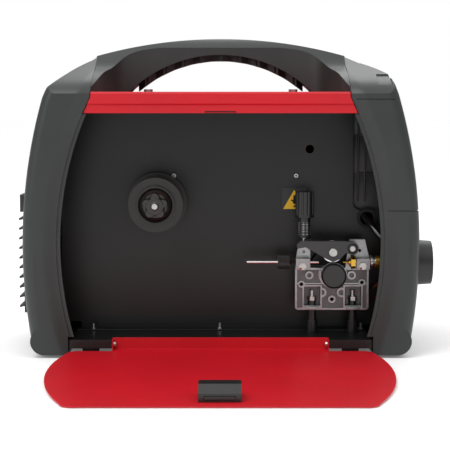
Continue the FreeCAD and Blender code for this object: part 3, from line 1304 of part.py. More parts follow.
os.makedirs("parts", exist_ok=True)
for node in NODES:
    node.Label = node.Name
    if node.Shape.isNull() or not node.Shape.isValid():
        raise RuntimeError(f"{node.Label} has no valid shape")
    node.Shape.exportStep(f"parts/{node.Label}.step")
print(len(NODES), "nodes written")
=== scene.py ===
import math

import bpy
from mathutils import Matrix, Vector


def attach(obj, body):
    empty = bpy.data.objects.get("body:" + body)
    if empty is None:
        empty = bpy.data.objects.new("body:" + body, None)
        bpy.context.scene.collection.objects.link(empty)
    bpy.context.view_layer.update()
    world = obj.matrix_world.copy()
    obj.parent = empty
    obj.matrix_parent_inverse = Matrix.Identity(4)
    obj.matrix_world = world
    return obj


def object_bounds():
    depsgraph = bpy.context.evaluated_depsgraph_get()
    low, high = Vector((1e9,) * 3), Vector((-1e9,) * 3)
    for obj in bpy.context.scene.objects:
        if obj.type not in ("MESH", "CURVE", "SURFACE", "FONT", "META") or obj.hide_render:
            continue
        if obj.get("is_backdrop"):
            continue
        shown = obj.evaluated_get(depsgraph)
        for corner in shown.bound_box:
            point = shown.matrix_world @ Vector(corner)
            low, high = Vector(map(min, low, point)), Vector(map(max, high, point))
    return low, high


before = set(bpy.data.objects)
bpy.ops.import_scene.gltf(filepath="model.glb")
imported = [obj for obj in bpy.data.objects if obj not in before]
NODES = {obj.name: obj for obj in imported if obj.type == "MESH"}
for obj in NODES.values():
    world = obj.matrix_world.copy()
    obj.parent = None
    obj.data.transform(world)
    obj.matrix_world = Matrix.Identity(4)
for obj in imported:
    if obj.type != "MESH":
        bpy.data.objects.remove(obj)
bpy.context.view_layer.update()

bl_info = {
    "name": "Wire-feed welding machine",
    "version": (1, 0, 0),
    "blender": (4, 5, 0),
    "location": "View3D > Sidebar > Welder",
    "description": "Finishes, small fittings, light and camera for a portable wire-feed welding machine",
    "category": "Object",
}

MM = 0.001
# Side opening, in millimetres: radius of its curved ends, height of the arc's centre, half-length there.
OPENING_ARC = (377.9, 128.4, 186.0)
# Planes across Y, in millimetres: the star knob's nose, and the milled front of the drive's casting; behind
# it the casting gets a darker colour, partly its cast skin and partly painted shade in the recess.
KNOB_NOSE = -110.05
MILLED_FACE = -66.6
# Screws of the partition and knobs of the front panel, in millimetres.
PARTITION_SCREW_X = (-55.7, 89.7)
PARTITION_SCREW_Z = 202.8
PANEL_KNOB_Y = 38.0
PANEL_KNOB_Z = 215.0


def linear(hex_text):
    """An sRGB hex colour as linear red, green and blue."""
    channels = [int(hex_text[i:i + 2], 16) / 255 for i in (0, 2, 4)]
    return tuple(c / 12.92 if c <= 0.04045 else ((c + 0.055) / 1.055) ** 2.4 for c in channels)


def colour(name, description, hex_text):
    return bpy.props.FloatVectorProperty(name=name, description=description, subtype="COLOR", size=3,
                                         min=0.0, max=1.0, default=linear(hex_text))


def length(name, description, millimetres):
    return bpy.props.FloatProperty(name=name, description=description, unit="LENGTH", subtype="DISTANCE",
                                   min=0.0, default=millimetres * MM)


def number(name, description, value):
    return bpy.props.FloatProperty(name=name, description=description, min=0.0, default=value)


class WelderFinish(bpy.types.PropertyGroup):
    """Colours and surface grain."""
    case_black: colour("Case plastic", "Textured plastic of the end shells and the handle", "272a2a")
    trim_black: colour("Trim plastic", "Smooth plastic of knobs, collars and the latch", "1c1c1c")
    cover_red: colour("Cover paint", "Powder coat of the cover and the side door", "c4061a")
    chassis_grey: colour("Chassis paint", "Paint of the partition and the base tray", "0c0d0d")
    cast_alloy: colour("Cast alloy", "Wire drive frame", "a9aaab")
    zinc: colour("Zinc plating", "Screws, pins and rollers", "bdbdb9")
    brass: colour("Brass", "Wire outlet and sockets", "d9b24a")
    label_yellow: colour("Label yellow", "Hazard plate", "f2c81c")
    grain: length("Plastic grain", "Distance between the bumps of the moulded grain", 0.9)
    edge: length("Edge radius", "Rounding that light sees on every edge", 0.5)


class WelderDetail(bpy.types.PropertyGroup):
    """Sizes of the small pieces."""
    tick_pitch: length("Rib pitch", "Distance between the small ribs in the shells' rebates", 49.7)
    scale_mark: length("Scale mark", "Width of a mark on the tension scale", 2.6)
    paint_spot: length("Paint spot", "Radius of the red locking paint on a bolt", 1.3)
    mark: length("Panel mark", "Thickness of the printed marks on the control panel", 0.15)


class WelderStage(bpy.types.PropertyGroup):
    """Floor, light and camera."""
    floor_size: length("Floor", "Side of the floor", 30000)
    floor_glow: number("Floor glow", "Light that the white paper gives off", 0.12)
    lens: number("Lens", "Focal length on a 36 mm sensor", 115.8)
    key_power: number("Key light", "Power of the large light in watts", 22)
    zenith: number("Zenith", "Brightness of the surroundings overhead", 1.25)
    horizon: number("Horizon", "Brightness of the surroundings at eye level", 0.27)


# ------------------------------------------------------------------ materials

def add(tree, kind, settings=None, links=None, **attributes):
    """Add a shader node, set its inputs and attributes, and link its inputs to other nodes' outputs."""
    node = tree.nodes.new(kind)
    for name, value in attributes.items():
        setattr(node, name, value)
    for name, value in (settings or {}).items():
        node.inputs[name].default_value = value
    for name, source in (links or {}).items():
        tree.links.new(source, node.inputs[name])
    return node


def start_material(name, base, roughness, metallic=0.0, ior=1.5, coat=0.0, coat_roughness=0.1):
    """A material with its constant values set on the shader itself."""
    material = bpy.data.materials.new(name)
    material.use_nodes = True
    shader = material.node_tree.nodes["Principled BSDF"]
    shader.inputs["Base Color"].default_value = (*base, 1)
    shader.inputs["Roughness"].default_value = roughness
    shader.inputs["Metallic"].default_value = metallic
    if metallic < 0.5:
        shader.inputs["IOR"].default_value = ior
    shader.inputs["Coat Weight"].default_value = coat
    shader.inputs["Coat Roughness"].default_value = coat_roughness
    return material, material.node_tree, shader


def tint(tree, shader, base, source, amount):
    """Let a pattern darken and lighten the base colour by a share."""
    low = tuple(c * (1 - amount) for c in base)
    high = tuple(min(1, c * (1 + amount)) for c in base)
    ramp = add(tree, "ShaderNodeValToRGB", links={"Fac": source})
    ramp.color_ramp.elements[0].position, ramp.color_ramp.elements[1].position = 0.3, 0.7
    ramp.color_ramp.elements[0].color, ramp.color_ramp.elements[1].color = (*low, 1), (*high, 1)
    tree.links.new(ramp.outputs["Color"], shader.inputs["Base Color"])


def relief(tree, shader, height, depth_mm, strength=1.0, edge=None):
    """Bump from a pattern, over softened edges."""
    radius = edge or bpy.context.scene.welder_finish.edge
    rounded = add(tree, "ShaderNodeBevel", {"Radius": radius}, samples=4)
    bump = add(tree, "ShaderNodeBump", {"Strength": strength, "Distance": depth_mm * MM},
               {"Height": height, "Normal": rounded.outputs["Normal"]})
    tree.links.new(bump.outputs["Normal"], shader.inputs["Normal"])


def noise(tree, size_mm, detail=2.0, stretch=None):
    """Noise whose blobs have a real size."""
    place = add(tree, "ShaderNodeTexCoord")
    source = place.outputs["Object"]
    if stretch:
        source = add(tree, "ShaderNodeMapping", {"Scale": stretch}, {"Vector": source}).outputs["Vector"]
    settings = {"Scale": 1 / (size_mm * MM), "Detail": detail}
    return add(tree, "ShaderNodeTexNoise", settings, {"Vector": source})


def split_place(tree):
    """The point on the object, split into its X, Y and Z."""
    place = add(tree, "ShaderNodeTexCoord")
    return add(tree, "ShaderNodeSeparateXYZ", links={"Vector": place.outputs["Object"]})


def maths(tree, operation, first, second=None):
    """One step of arithmetic on an output, with a number or another output."""
    linked = isinstance(second, bpy.types.NodeSocket)
    settings = {} if second is None or linked else {1: second}
    links = {0: first, 1: second} if linked else {0: first}
    return add(tree, "ShaderNodeMath", settings, links, operation=operation).outputs["Value"]


def moulded_abs(name, base, roughness=0.42, swell=False):
    """Injection-moulded ABS with a spark-eroded grain: a satin black that scatters highlights."""
    finish = bpy.context.scene.welder_finish
    material, tree, shader = start_material(name, base, roughness, ior=1.54)
    grain = noise(tree, finish.grain / MM, 3.0)
    cloud = noise(tree, 55, 2.0)
    tint(tree, shader, base, cloud.outputs["Fac"], 0.12)
    relief(tree, shader, grain.outputs["Fac"], 0.08, 0.55)
    if swell:
        border_swell(tree)
    return material


def border_swell(tree):
    """A soft ridge along the side openings: the shell's side falls away towards the opening's edge."""
    radius, centre_z, reach = (value * MM for value in OPENING_ARC)
    inner, outer, height = 2 * MM, 17 * MM, 3.2 * MM
    place = split_place(tree)
    along = maths(tree, "ABSOLUTE", place.outputs["X"])
    across = maths(tree, "SUBTRACT", along, reach - radius)
    up = maths(tree, "SUBTRACT", place.outputs["Z"], centre_z)
    flat = add(tree, "ShaderNodeCombineXYZ", links={"X": across, "Y": up})
    reach_out = add(tree, "ShaderNodeVectorMath", links={0: flat.outputs["Vector"]}, operation="LENGTH")
    ridge = add(tree, "ShaderNodeMapRange", {"From Min": radius - inner, "From Max": radius + outer},
                {"Value": reach_out.outputs["Value"]}, interpolation_type="SMOOTHSTEP")
    grain_bump = next(node for node in tree.nodes if node.bl_idname == "ShaderNodeBump")
    wide = add(tree, "ShaderNodeBump", {"Strength": 1.0, "Distance": height},
               {"Height": ridge.outputs["Result"]})
    tree.links.new(grain_bump.inputs["Normal"].links[0].from_socket, wide.inputs["Normal"])
    tree.links.new(wide.outputs["Normal"], grain_bump.inputs["Normal"])


def smooth_plastic(name, base, roughness=0.28):
    """Polished-tool nylon or polycarbonate: black with clear highlights and faint flow marks."""
    material, tree, shader = start_material(name, base, roughness, ior=1.53)
    flow = noise(tree, 14, 2.0)
    tint(tree, shader, base, flow.outputs["Fac"], 0.10)
    relief(tree, shader, noise(tree, 1.2, 2.0).outputs["Fac"], 0.02, 0.4)
    return material


def powder_coat(name, base, roughness=0.42):
    """Polyester powder coat on sheet steel: an even colour under a clear skin with slight orange peel."""
    material, tree, shader = start_material(name, base, roughness, ior=1.45, coat=0.1, coat_roughness=0.25)
    tint(tree, shader, base, noise(tree, 90, 2.0).outputs["Fac"], 0.05)
    relief(tree, shader, noise(tree, 2.4, 2.0).outputs["Fac"], 0.03, 0.5)
    return material


def chassis_paint(name, base):
    """Semi-gloss paint on folded steel: nearly black, with a soft sheen that fades in patches."""
    shiniest, dullest = 0.30, 0.42
    material, tree, shader = start_material(name, base, 0.36, ior=1.5)
    patches = noise(tree, 60, 3.0)
    tint(tree, shader, base, patches.outputs["Fac"], 0.12)
    rough = add(tree, "ShaderNodeMapRange", {"To Min": shiniest, "To Max": dullest},
                {"Value": patches.outputs["Fac"]})
    tree.links.new(rough.outputs["Result"], shader.inputs["Roughness"])
    relief(tree, shader, noise(tree, 1.6, 2.0).outputs["Fac"], 0.03, 0.5)
    return material


def blasted_alloy(name, base):
    """Die-cast aluminium, lightly blasted: pale grey and matt, with fine grit and a few dull patches."""
    material, tree, shader = start_material(name, base, 0.46, metallic=1.0)
    tint(tree, shader, base, noise(tree, 9, 3.0).outputs["Fac"], 0.14)
    relief(tree, shader, noise(tree, 0.5, 3.0).outputs["Fac"], 0.08, 0.6)
    return material


def turned_metal(name, base, roughness, stretch=(1, 14, 14)):
    """Turned or drawn metal: fine lines in one direction that streak the highlight."""
    material, tree, shader = start_material(name, base, roughness, metallic=1.0)
    lines = noise(tree, 1.6, 3.0, stretch)
    rough = add(tree, "ShaderNodeMapRange", {"To Min": roughness - 0.08, "To Max": roughness + 0.12},
                {"Value": lines.outputs["Fac"]})
    tree.links.new(rough.outputs["Result"], shader.inputs["Roughness"])
    tint(tree, shader, base, noise(tree, 6, 2.0).outputs["Fac"], 0.08)
    relief(tree, shader, lines.outputs["Fac"], 0.015, 0.5, 0.25 * MM)
    return material


def overlay(tree, mask, colour_over):
    """Lay a second colour over the base colour's pattern where the mask is one."""
    shader = tree.nodes["Principled BSDF"]
    pattern = shader.inputs["Base Color"].links[0].from_socket
    mixed = add(tree, "ShaderNodeMixRGB", {"Color2": (*colour_over, 1)}, {"Fac": mask, "Color1": pattern})
    tree.links.new(mixed.outputs["Color"], shader.inputs["Base Color"])


def outlet_metal(name, base, ring):
    """Turned brass with one zinc-plated ring pressed over it."""
    material = turned_metal(name, base, 0.26)
    tree = material.node_tree
    ring_start, ring_end = 173.9 * MM, 179.7 * MM
    along = split_place(tree).outputs["X"]
    after = maths(tree, "GREATER_THAN", along, ring_start)
    before = maths(tree, "LESS_THAN", along, ring_end)
    overlay(tree, maths(tree, "MULTIPLY", after, before), ring)
    return material


def face_mask(tree, front_mm):
    """One in front of a plane across Y, zero behind it."""
    return maths(tree, "LESS_THAN", split_place(tree).outputs["Y"], front_mm * MM)


def casting_with_painted_recess_shade(name, base, cast):
    """Die-cast frame: rim and boss faces are milled bright, the skin inside the recess stays dull; the recess
    also gets a darker colour, partly the cast skin and partly painted shade.
    """
    material = blasted_alloy(name, base)
    tree = material.node_tree
    shader = tree.nodes["Principled BSDF"]
    milled = face_mask(tree, MILLED_FACE)
    pattern = shader.inputs["Base Color"].links[0].from_socket
    # darker colour behind the milled face: partly the cast skin, partly painted shade in the recess
    skin = add(tree, "ShaderNodeMixRGB", {"Color1": (*cast, 1)}, {"Fac": milled, "Color2": pattern})
    tree.links.new(skin.outputs["Color"], shader.inputs["Base Color"])
    rough = add(tree, "ShaderNodeMapRange", {"To Min": 0.5, "To Max": 0.36}, {"Value": milled})
    tree.links.new(rough.outputs["Result"], shader.inputs["Roughness"])
    return material


def capped_knob(name, base, cap):
    """Glossy nylon knob with a plated nut showing in its nose."""
    material = smooth_plastic(name, base, 0.2)
    tree = material.node_tree
    nut = face_mask(tree, KNOB_NOSE)
    overlay(tree, nut, cap)
    tree.links.new(nut, tree.nodes["Principled BSDF"].inputs["Metallic"])
    return material


def moulded_rubber(name, base):
    """Moulded rubber: dead matt, with a dusty bloom."""
    material, tree, shader = start_material(name, base, 0.75, ior=1.52)
    tint(tree, shader, base, noise(tree, 8, 3.0).outputs["Fac"], 0.25)
    relief(tree, shader, noise(tree, 0.8, 2.0).outputs["Fac"], 0.05, 0.5)
    return material


def cable_sheath(name):
    """Soft vinyl sheaths: glossy black on the power cables above, orange-brown on the thin leads below."""
    material, tree, shader = start_material(name, linear("141414"), 0.16, ior=1.53)
    thick_low = 104.5 * MM
    where = maths(tree, "GREATER_THAN", split_place(tree).outputs["Z"], thick_low)
    ramp = add(tree, "ShaderNodeValToRGB", links={"Fac": where})
    ramp.color_ramp.interpolation = "CONSTANT"
    ramp.color_ramp.elements[0].color = (*linear("9a4a2a"), 1)
    ramp.color_ramp.elements[1].color = (*linear("121212"), 1)
    ramp.color_ramp.elements[1].position = 0.5
    tree.links.new(ramp.outputs["Color"], shader.inputs["Base Color"])
    relief(tree, shader, noise(tree, 3, 2.0).outputs["Fac"], 0.02, 0.4)
    return material


def knurled_plastic(name, base, centre, pitch_mm=0.9):
    """Nylon sleeve with a straight knurl: fine ribs along X all round its axis."""
    material, tree, shader = start_material(name, base, 0.34, ior=1.53)
    place = add(tree, "ShaderNodeTexCoord")
    moved = [-c for c in centre]
    shift = add(tree, "ShaderNodeMapping", {"Location": moved}, {"Vector": place.outputs["Object"]})
    split = add(tree, "ShaderNodeSeparateXYZ", links={"Vector": shift.outputs["Vector"]})
    angle = maths(tree, "ARCTAN2", split.outputs["Z"], split.outputs["Y"])
    radius_mm = 7.65
    turns = maths(tree, "MULTIPLY", angle, 2 * math.pi * radius_mm / pitch_mm)
    wave = maths(tree, "SINE", turns)
    tint(tree, shader, base, noise(tree, 6, 2.0).outputs["Fac"], 0.10)
    relief(tree, shader, wave, 0.25, 0.8, 0.2 * MM)
    return material


def solder_mask(name, base):
    """Circuit board: green lacquer over copper tracks that show as a slightly lighter grid."""
    material, tree, shader = start_material(name, base, 0.35, ior=1.5)
    place = add(tree, "ShaderNodeTexCoord")
    track_mm = 5.0
    tracks = add(tree, "ShaderNodeTexBrick", {"Scale": 1 / (track_mm * MM), "Mortar Size": 0.03,
                                              "Color1": (*base, 1), "Color2": (*(c * 0.8 for c in base), 1),
                                              "Mortar": (*(min(1, c * 1.8) for c in base), 1)},
                 {"Vector": place.outputs["Object"]})
    tree.links.new(tracks.outputs["Color"], shader.inputs["Base Color"])
    relief(tree, shader, tracks.outputs["Fac"], 0.05, 0.5)
    return material


def enamelled_winding(name, base):
    """Varnished copper wire wound on a core: round turns side by side, amber-brown and glossy, with painted
    shade in the grooves between turns and painted highlight on their crowns.
    """
    material, tree, shader = start_material(name, base, 0.3, metallic=0.6, ior=1.5)
    place = add(tree, "ShaderNodeTexCoord")
    turn_mm = 2.2
    turns = add(tree, "ShaderNodeTexWave", {"Scale": 1 / (turn_mm * MM) / math.pi / 2},
                {"Vector": place.outputs["Object"]}, bands_direction="Z")
    # the wave that shapes the turns also darkens their grooves and lightens their crowns: painted shade and
    # painted highlight
    tint(tree, shader, base, turns.outputs["Fac"], 0.3)
    relief(tree, shader, turns.outputs["Fac"], 0.4, 0.8)
    return material


def make_finishes():
    """Every finish of the machine, by its plain name."""
    finish = bpy.context.scene.welder_finish
    guide_axis = (0, -0.074, 0.1045)
    return {
        "abs": moulded_abs("moulded ABS, spark-eroded grain", finish.case_black),
        "shell": moulded_abs("moulded ABS shell with a swelled border", finish.case_black, swell=True),
        "trim": smooth_plastic("smooth nylon, polished tool", finish.trim_black),
        "hub": smooth_plastic("recycled nylon, brownish black", linear("1b1716"), 0.33),
        "collar": smooth_plastic("glass-filled nylon, satin", linear("191919"), 0.42),
        "red": powder_coat("polyester powder coat, red", finish.cover_red),
        "chassis": chassis_paint("semi-gloss chassis paint", finish.chassis_grey),
        "arm": chassis_paint("phosphated steel, oiled", linear("343637")),
        "alloy": blasted_alloy("die-cast aluminium, blasted", finish.cast_alloy),
        # the second colour darkens the casting's recess: partly cast skin, partly painted shade
        "frame": casting_with_painted_recess_shade("die-cast aluminium, milled rim", finish.cast_alloy, linear("787b7c")),
        "knob": capped_knob("glossy nylon with a plated nut", linear("221e1c"), finish.zinc),
        "zinc": turned_metal("zinc-plated steel, turned", finish.zinc, 0.3),
        "bright": turned_metal("bright drawn steel", linear("dedede"), 0.2),
        "brass": turned_metal("machined brass", finish.brass, 0.26),
        "rubber": moulded_rubber("moulded rubber", linear("141414")),
        "sheath": cable_sheath("vinyl cable sheath"),
        "knurl": knurled_plastic("knurled nylon", finish.trim_black, guide_axis),
        "yellow": powder_coat("screen-printed yellow", finish.label_yellow, 0.42),
        "plate": powder_coat("anodised label plate, dark grey", linear("2f3232"), 0.4),
        "outlet": outlet_metal("machined brass with a plated ring", finish.brass, finish.zinc),
        "board": solder_mask("solder mask on glass laminate", linear("14502c")),
        "extrusion": turned_metal("extruded aluminium", linear("c6c8ca"), 0.38, (14, 1, 14)),
        "winding": enamelled_winding("enamelled copper winding", linear("8a4a22")),
        "window": smooth_plastic("smoked acrylic", linear("0b0c0e"), 0.06),
        "white": smooth_plastic("white printing ink", linear("e4e4e2"), 0.5),
        "spot": smooth_plastic("red locking paint", linear("9c1a1c"), 0.4),
        # this black is printing ink on the hazard plate and painted shade in the screws' cross recesses
        "black_ink_and_recess_shade": smooth_plastic("black printing ink", linear("101010"), 0.5),
    }


FINISH_OF_NODE = {
    "shell": ["front_shell", "rear_shell"],
    "abs": ["handle", "rear_grille", "connection_recess", "front_fascia"],
    "trim": ["latch_housing", "latch_bolt", "tension_knob", "scale_sleeve", "pillars", "voltage_knob",
             "wire_speed_knob", "roller_cap", "dinse_sockets", "cable_gland", "switch_frame", "switch_rocker",
             "fan_frame", "fan_rotor"],
    "hub": ["hub_core", "hub_disc"],
    "knob": ["hub_knob"],
    "collar": ["torch_collar"],
    "red": ["cover", "door_panel"],
    "chassis": ["partition", "base_tray", "feed_motor"],
    "arm": ["pressure_arm"],
    "frame": ["drive_plate"],
    "alloy": ["clamp_blocks", "gearbox"],
    "zinc": ["case_screws", "floor_pins", "hinge_screws", "hub_shaft", "output_shaft", "drive_pins",
             "roller_axle", "tension_rod", "drive_bolts"],
    "bright": ["feed_roller", "pressure_roller", "tension_spring", "inlet_guide"],
    "brass": ["torch_core", "dinse_inserts", "gas_inlet", "gas_valve"],
    "outlet": ["outlet_guide"],
    "rubber": ["feet", "cable_grommet"],
    "sheath": ["internal_leads"],
    "knurl": ["inlet_collar"],
    "plate": ["warning_plate"],
    "board": ["power_board"],
    "extrusion": ["heat_sinks"],
    "winding": ["transformer_and_choke"],
    "window": ["display_window"],
}


def finish_named(name):
    """The finish that the first step made, by its plain name."""
    return next(m for m in bpy.data.materials if m.get("welder_finish") == name)


# ------------------------------------------------------------------ modelling by operators

def only(obj):
    """Select one object alone and make it active."""
    bpy.ops.object.select_all(action="DESELECT")
    obj.select_set(True)
    bpy.context.view_layer.objects.active = obj


def settle():
    """Write the active object's place, turn and scale into its mesh."""
    bpy.ops.object.transform_apply(location=True, rotation=True, scale=True)
    return bpy.context.object


def bevelled(obj, width_mm):
    """Round an object's sharp edges."""
    only(obj)
    bpy.ops.object.modifier_add(type="BEVEL")
    modifier = obj.modifiers[-1]
    modifier.width = width_mm * MM
    modifier.segments = 2
    modifier.limit_method = "ANGLE"
    modifier.angle_limit = math.radians(30)
    bpy.ops.object.modifier_apply(modifier=modifier.name)
    return obj


def bar(low, high, bevel=0.2, turn=None, about=None):
    """A bevelled bar between two corners in millimetres, turned if asked about a point."""
    bpy.ops.object.select_all(action="DESELECT")
    middle = [(a + b) / 2 * MM for a, b in zip(low, high)]
    bpy.ops.mesh.primitive_cube_add(size=1, location=middle)
    obj = bpy.context.object
    obj.scale = [(b - a) * MM for a, b in zip(low, high)]
    settle()
    if bevel:
        bevelled(obj, bevel)
    if turn:
        turned(obj, turn, about)
    return obj


def turned(obj, turn, about):
    """Turn an object about a point: turn is an angle in degrees and an axis."""
    from_point = Vector(about) * MM
    only(obj)
    bpy.context.scene.cursor.location = from_point
    bpy.ops.object.origin_set(type="ORIGIN_CURSOR")
    obj.rotation_mode = "AXIS_ANGLE"
    obj.rotation_axis_angle = (math.radians(turn[0]), *turn[1])
    return settle()


def disc_blank(centre, radius, depth):
    """A plain disc across Y in millimetres."""
    bpy.ops.object.select_all(action="DESELECT")
    bpy.ops.mesh.primitive_cylinder_add(vertices=48, radius=radius * MM, depth=depth * MM,
                                        location=[c * MM for c in centre], rotation=(math.pi / 2, 0, 0))
    return bpy.context.object


def disc(centre, radius, depth, inner=0.0):
    """A bevelled disc or ring across Y in millimetres; its depth runs both ways from the centre."""
    obj = disc_blank(centre, radius, depth)
    if inner:
        subtract(obj, disc_blank(centre, inner, 4 * depth))
    only(obj)
    settle()
    return bevelled(obj, 0.15)


def subtract(obj, cutter):
    """Cut one object out of another and delete the cutter."""
    only(obj)
    bpy.ops.object.modifier_add(type="BOOLEAN")
    modifier = obj.modifiers[-1]
    modifier.operation = "DIFFERENCE"
    modifier.solver = "EXACT"
    modifier.object = cutter
    bpy.ops.object.modifier_apply(modifier=modifier.name)
    bpy.data.objects.remove(cutter)


def joined(objects):
    """Join several objects into the first of them."""
    bpy.ops.object.select_all(action="DESELECT")
    for obj in objects:
        obj.select_set(True)
    bpy.context.view_layer.objects.active = objects[0]
    bpy.ops.object.join()
    return bpy.context.object


def piece(obj, name, body, finish):
    """Name a finished object, smooth it, give it its finish and let it ride on its body."""
    only(obj)
    bpy.ops.object.shade_smooth_by_angle(angle=math.radians(30))
    obj.name = obj.data.name = name
    obj.data.materials.clear()
    obj.data.materials.append(finish_named(finish))
    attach(obj, body)
    return obj


def opening_edge(z):
    """Half-length of the side opening at a height, in millimetres."""
    radius, centre_z, reach = OPENING_ARC
    return reach - radius + math.sqrt(radius ** 2 - (z - centre_z) ** 2)


# ------------------------------------------------------------------ the pieces

class WelderOperator:
    """What the steps share."""
    bl_options = {"REGISTER", "UNDO"}


class WELDER_OT_finishes(WelderOperator, bpy.types.Operator):
    """Make the finishes and give one to every node of the frame"""
    bl_idname = "welder.finishes"
    bl_label = "Finishes"

    def execute(self, context):
        for name, material in make_finishes().items():
            material["welder_finish"] = name
        for name, nodes in FINISH_OF_NODE.items():
            for node in nodes:
                mesh = NODES[node].data
                mesh.materials.clear()
                mesh.materials.append(finish_named(name))
        return {"FINISHED"}


class WELDER_OT_rebate_ribs(WelderOperator, bpy.types.Operator):
    """Small ribs across the rebate round each side opening"""
    bl_idname = "welder.rebate_ribs"
    bl_label = "Rebate ribs"

    def execute(self, context):
        pitch = context.scene.welder_detail.tick_pitch / MM
        ribs = []
        for side in (-1, 1):
            for step in range(5):
                z = 46.2 + pitch * step
                edge = opening_edge(z)
                x_low, x_high = sorted((side * (edge - 4.2), side * (edge + 0.3)))
                ribs.append(bar((x_low, -118.4, z - 0.7), (x_high, -117.8, z + 0.7), 0.2))
        piece(joined(ribs), "rebate_ribs", "case", "abs")
        return {"FINISHED"}


class WELDER_OT_hazard_plate(WelderOperator, bpy.types.Operator):
    """Yellow triangle with a plain dark mark on the label plate"""
    bl_idname = "welder.hazard_plate"
    bl_label = "Hazard plate"

    def execute(self, context):
        centre = [c * MM for c in (87.5, -28.9, 170.7)]
        bpy.ops.object.select_all(action="DESELECT")
        bpy.ops.mesh.primitive_cylinder_add(vertices=3, radius=15.2 * MM, depth=0.3 * MM, location=centre,
                                            rotation=(math.pi / 2, 0, math.pi))
        settle()
        piece(bpy.context.object, "hazard_triangle", "case", "yellow")
        stroke = [
            bar((86.3, -29.25, 169.0), (88.9, -28.95, 179.5), 0),
            bar((86.5, -29.25, 165.2), (88.7, -28.95, 167.4), 0),
            bar((83.0, -29.25, 170.6), (92.0, -28.95, 172.2), 0, (35, (0, 1, 0)), (87.5, -29.1, 171.4)),
        ]
        piece(joined(stroke), "hazard_mark", "case", "black_ink_and_recess_shade")
        return {"FINISHED"}


class WELDER_OT_tension_scale(WelderOperator, bpy.types.Operator):
    """Columns of marks round the tension sleeve"""
    bl_idname = "welder.tension_scale"
    bl_label = "Tension scale"

    def execute(self, context):
        width = context.scene.welder_detail.scale_mark / MM
        x, y, radius = 98.5, -56.0, 7.0
        marks = []
        for row in range(8):
            for angle in (-14, 22, 76, 112, 166, 202, 256, 292):
                z = 135.5 + 2.0 * row
                long = 0.5 * width if row % 2 else width
                mark = bar((x - long / 2, y - radius - 0.05, z - 0.25),
                           (x + long / 2, y - radius + 0.4, z + 0.25), 0)
                marks.append(turned(mark, (angle, (0, 0, 1)), (x, y, z)))
        piece(joined(marks), "tension_scale_marks", "lever", "white")
        return {"FINISHED"}


class WELDER_OT_drive_fittings(WelderOperator, bpy.types.Operator):
    """Foot blocks, a dark ring and paint spots on the wire drive's frame"""
    bl_idname = "welder.drive_fittings"
    bl_label = "Drive fittings"

    def execute(self, context):
        detail = context.scene.welder_detail
        front = -67.0
        half = 7.5
        blocks = []
        for x in (107.2, 155.0):
            blocks.append(bar((x - half, front - 4.0, 47.6), (x + half, front + 0.2, 51.6), 0.5))
        piece(joined(blocks), "drive_foot_blocks", "case", "alloy")
        ring = disc((152.2, -89.1, 121.8), 5.7, 0.5, 3.6)
        piece(ring, "arm_pin_ring", "case", "rubber")
        spots = []
        for x, z in ((95.1, 100.2), (165.0, 100.6)):
            spots.append(disc((x - 2.2, -82.5, z - 2.4), detail.paint_spot / MM, 0.5))
        piece(joined(spots), "locking_paint_spots", "case", "spot")
        return {"FINISHED"}


class WELDER_OT_inner_wall(WelderOperator, bpy.types.Operator):
    """Ribbed plastic wall behind the partition's cut-away corner, and black crosses on the partition's screws
    as painted shade in their cross recesses
    """
    bl_idname = "welder.inner_wall"
    bl_label = "Inner wall"

    def execute(self, context):
        wall = [
            bar((155, -21.0, 160), (212, -19.5, 206), 0.3),
            bar((155, -21.0, 205), (206, -19.5, 252), 0.3),
            bar((155, -21.0, 251), (196, -19.5, 297), 0.3),
        ]
        for x in (163.0, 171.0, 187.0):
            wall.append(bar((x, -25.0, 172), (x + 1.6, -20.5, 292), 0.4))
        for z in (204.0, 250.0):
            wall.append(bar((163.0, -24.0, z), (196.0, -20.5, z + 1.6), 0.4))
        piece(joined(wall), "inner_rib_wall", "case", "abs")
        # flat black crosses on the screw heads: painted shade in their cross recesses
        recesses = []
        z, half = PARTITION_SCREW_Z, 0.35
        for x in PARTITION_SCREW_X:
            for turn in (20, 110):
                slot = bar((x - 1.7, -30.35, z - half), (x + 1.7, -30.05, z + half), 0)
                recesses.append(turned(slot, (turn, (0, 1, 0)), (x, -30.2, z)))
        piece(joined(recesses), "screw_recesses", "case", "black_ink_and_recess_shade")
        return {"FINISHED"}


class WELDER_OT_control_panel(WelderOperator, bpy.types.Operator):
    """Dial marks round both knobs and pointer lines on them"""
    bl_idname = "welder.control_panel"
    bl_label = "Control panel"

    def execute(self, context):
        depth = context.scene.welder_detail.mark / MM
        y, z = PANEL_KNOB_Y, PANEL_KNOB_Z
        # The panel leans back by 14 mm over the 96 mm above its foot line at Z 172.
        back, height, foot_x, foot_z = 14.0, 96.0, 217.5, 172.0
        upright_turn = (-math.degrees(math.atan2(back, height)), (0, 1, 0))
        x = foot_x - back * (z - foot_z) / height
        marks = []
        for side in (-1, 1):
            for step in range(11):
                low = (x - depth, side * y - 0.45, z + 16.5)
                high = (x + depth, side * y + 0.45, z + 19.5)
                around = (-135 + 27 * step, (1, 0, 0))
                mark = turned(bar(low, high, 0), around, (x, side * y, z))
                marks.append(turned(mark, upright_turn, (x, side * y, z)))
        piece(joined(marks), "dial_marks", "case", "white")
        for side, body in ((-1, "voltage"), (1, "wire_speed")):
            line = bar((x + 15.3, side * y - 0.6, z + 1.0), (x + 15.6, side * y + 0.6, z + 9.0), 0)
            turned(line, upright_turn, (x, side * y, z))
            piece(line, body + "_pointer", body, "white")
        return {"FINISHED"}


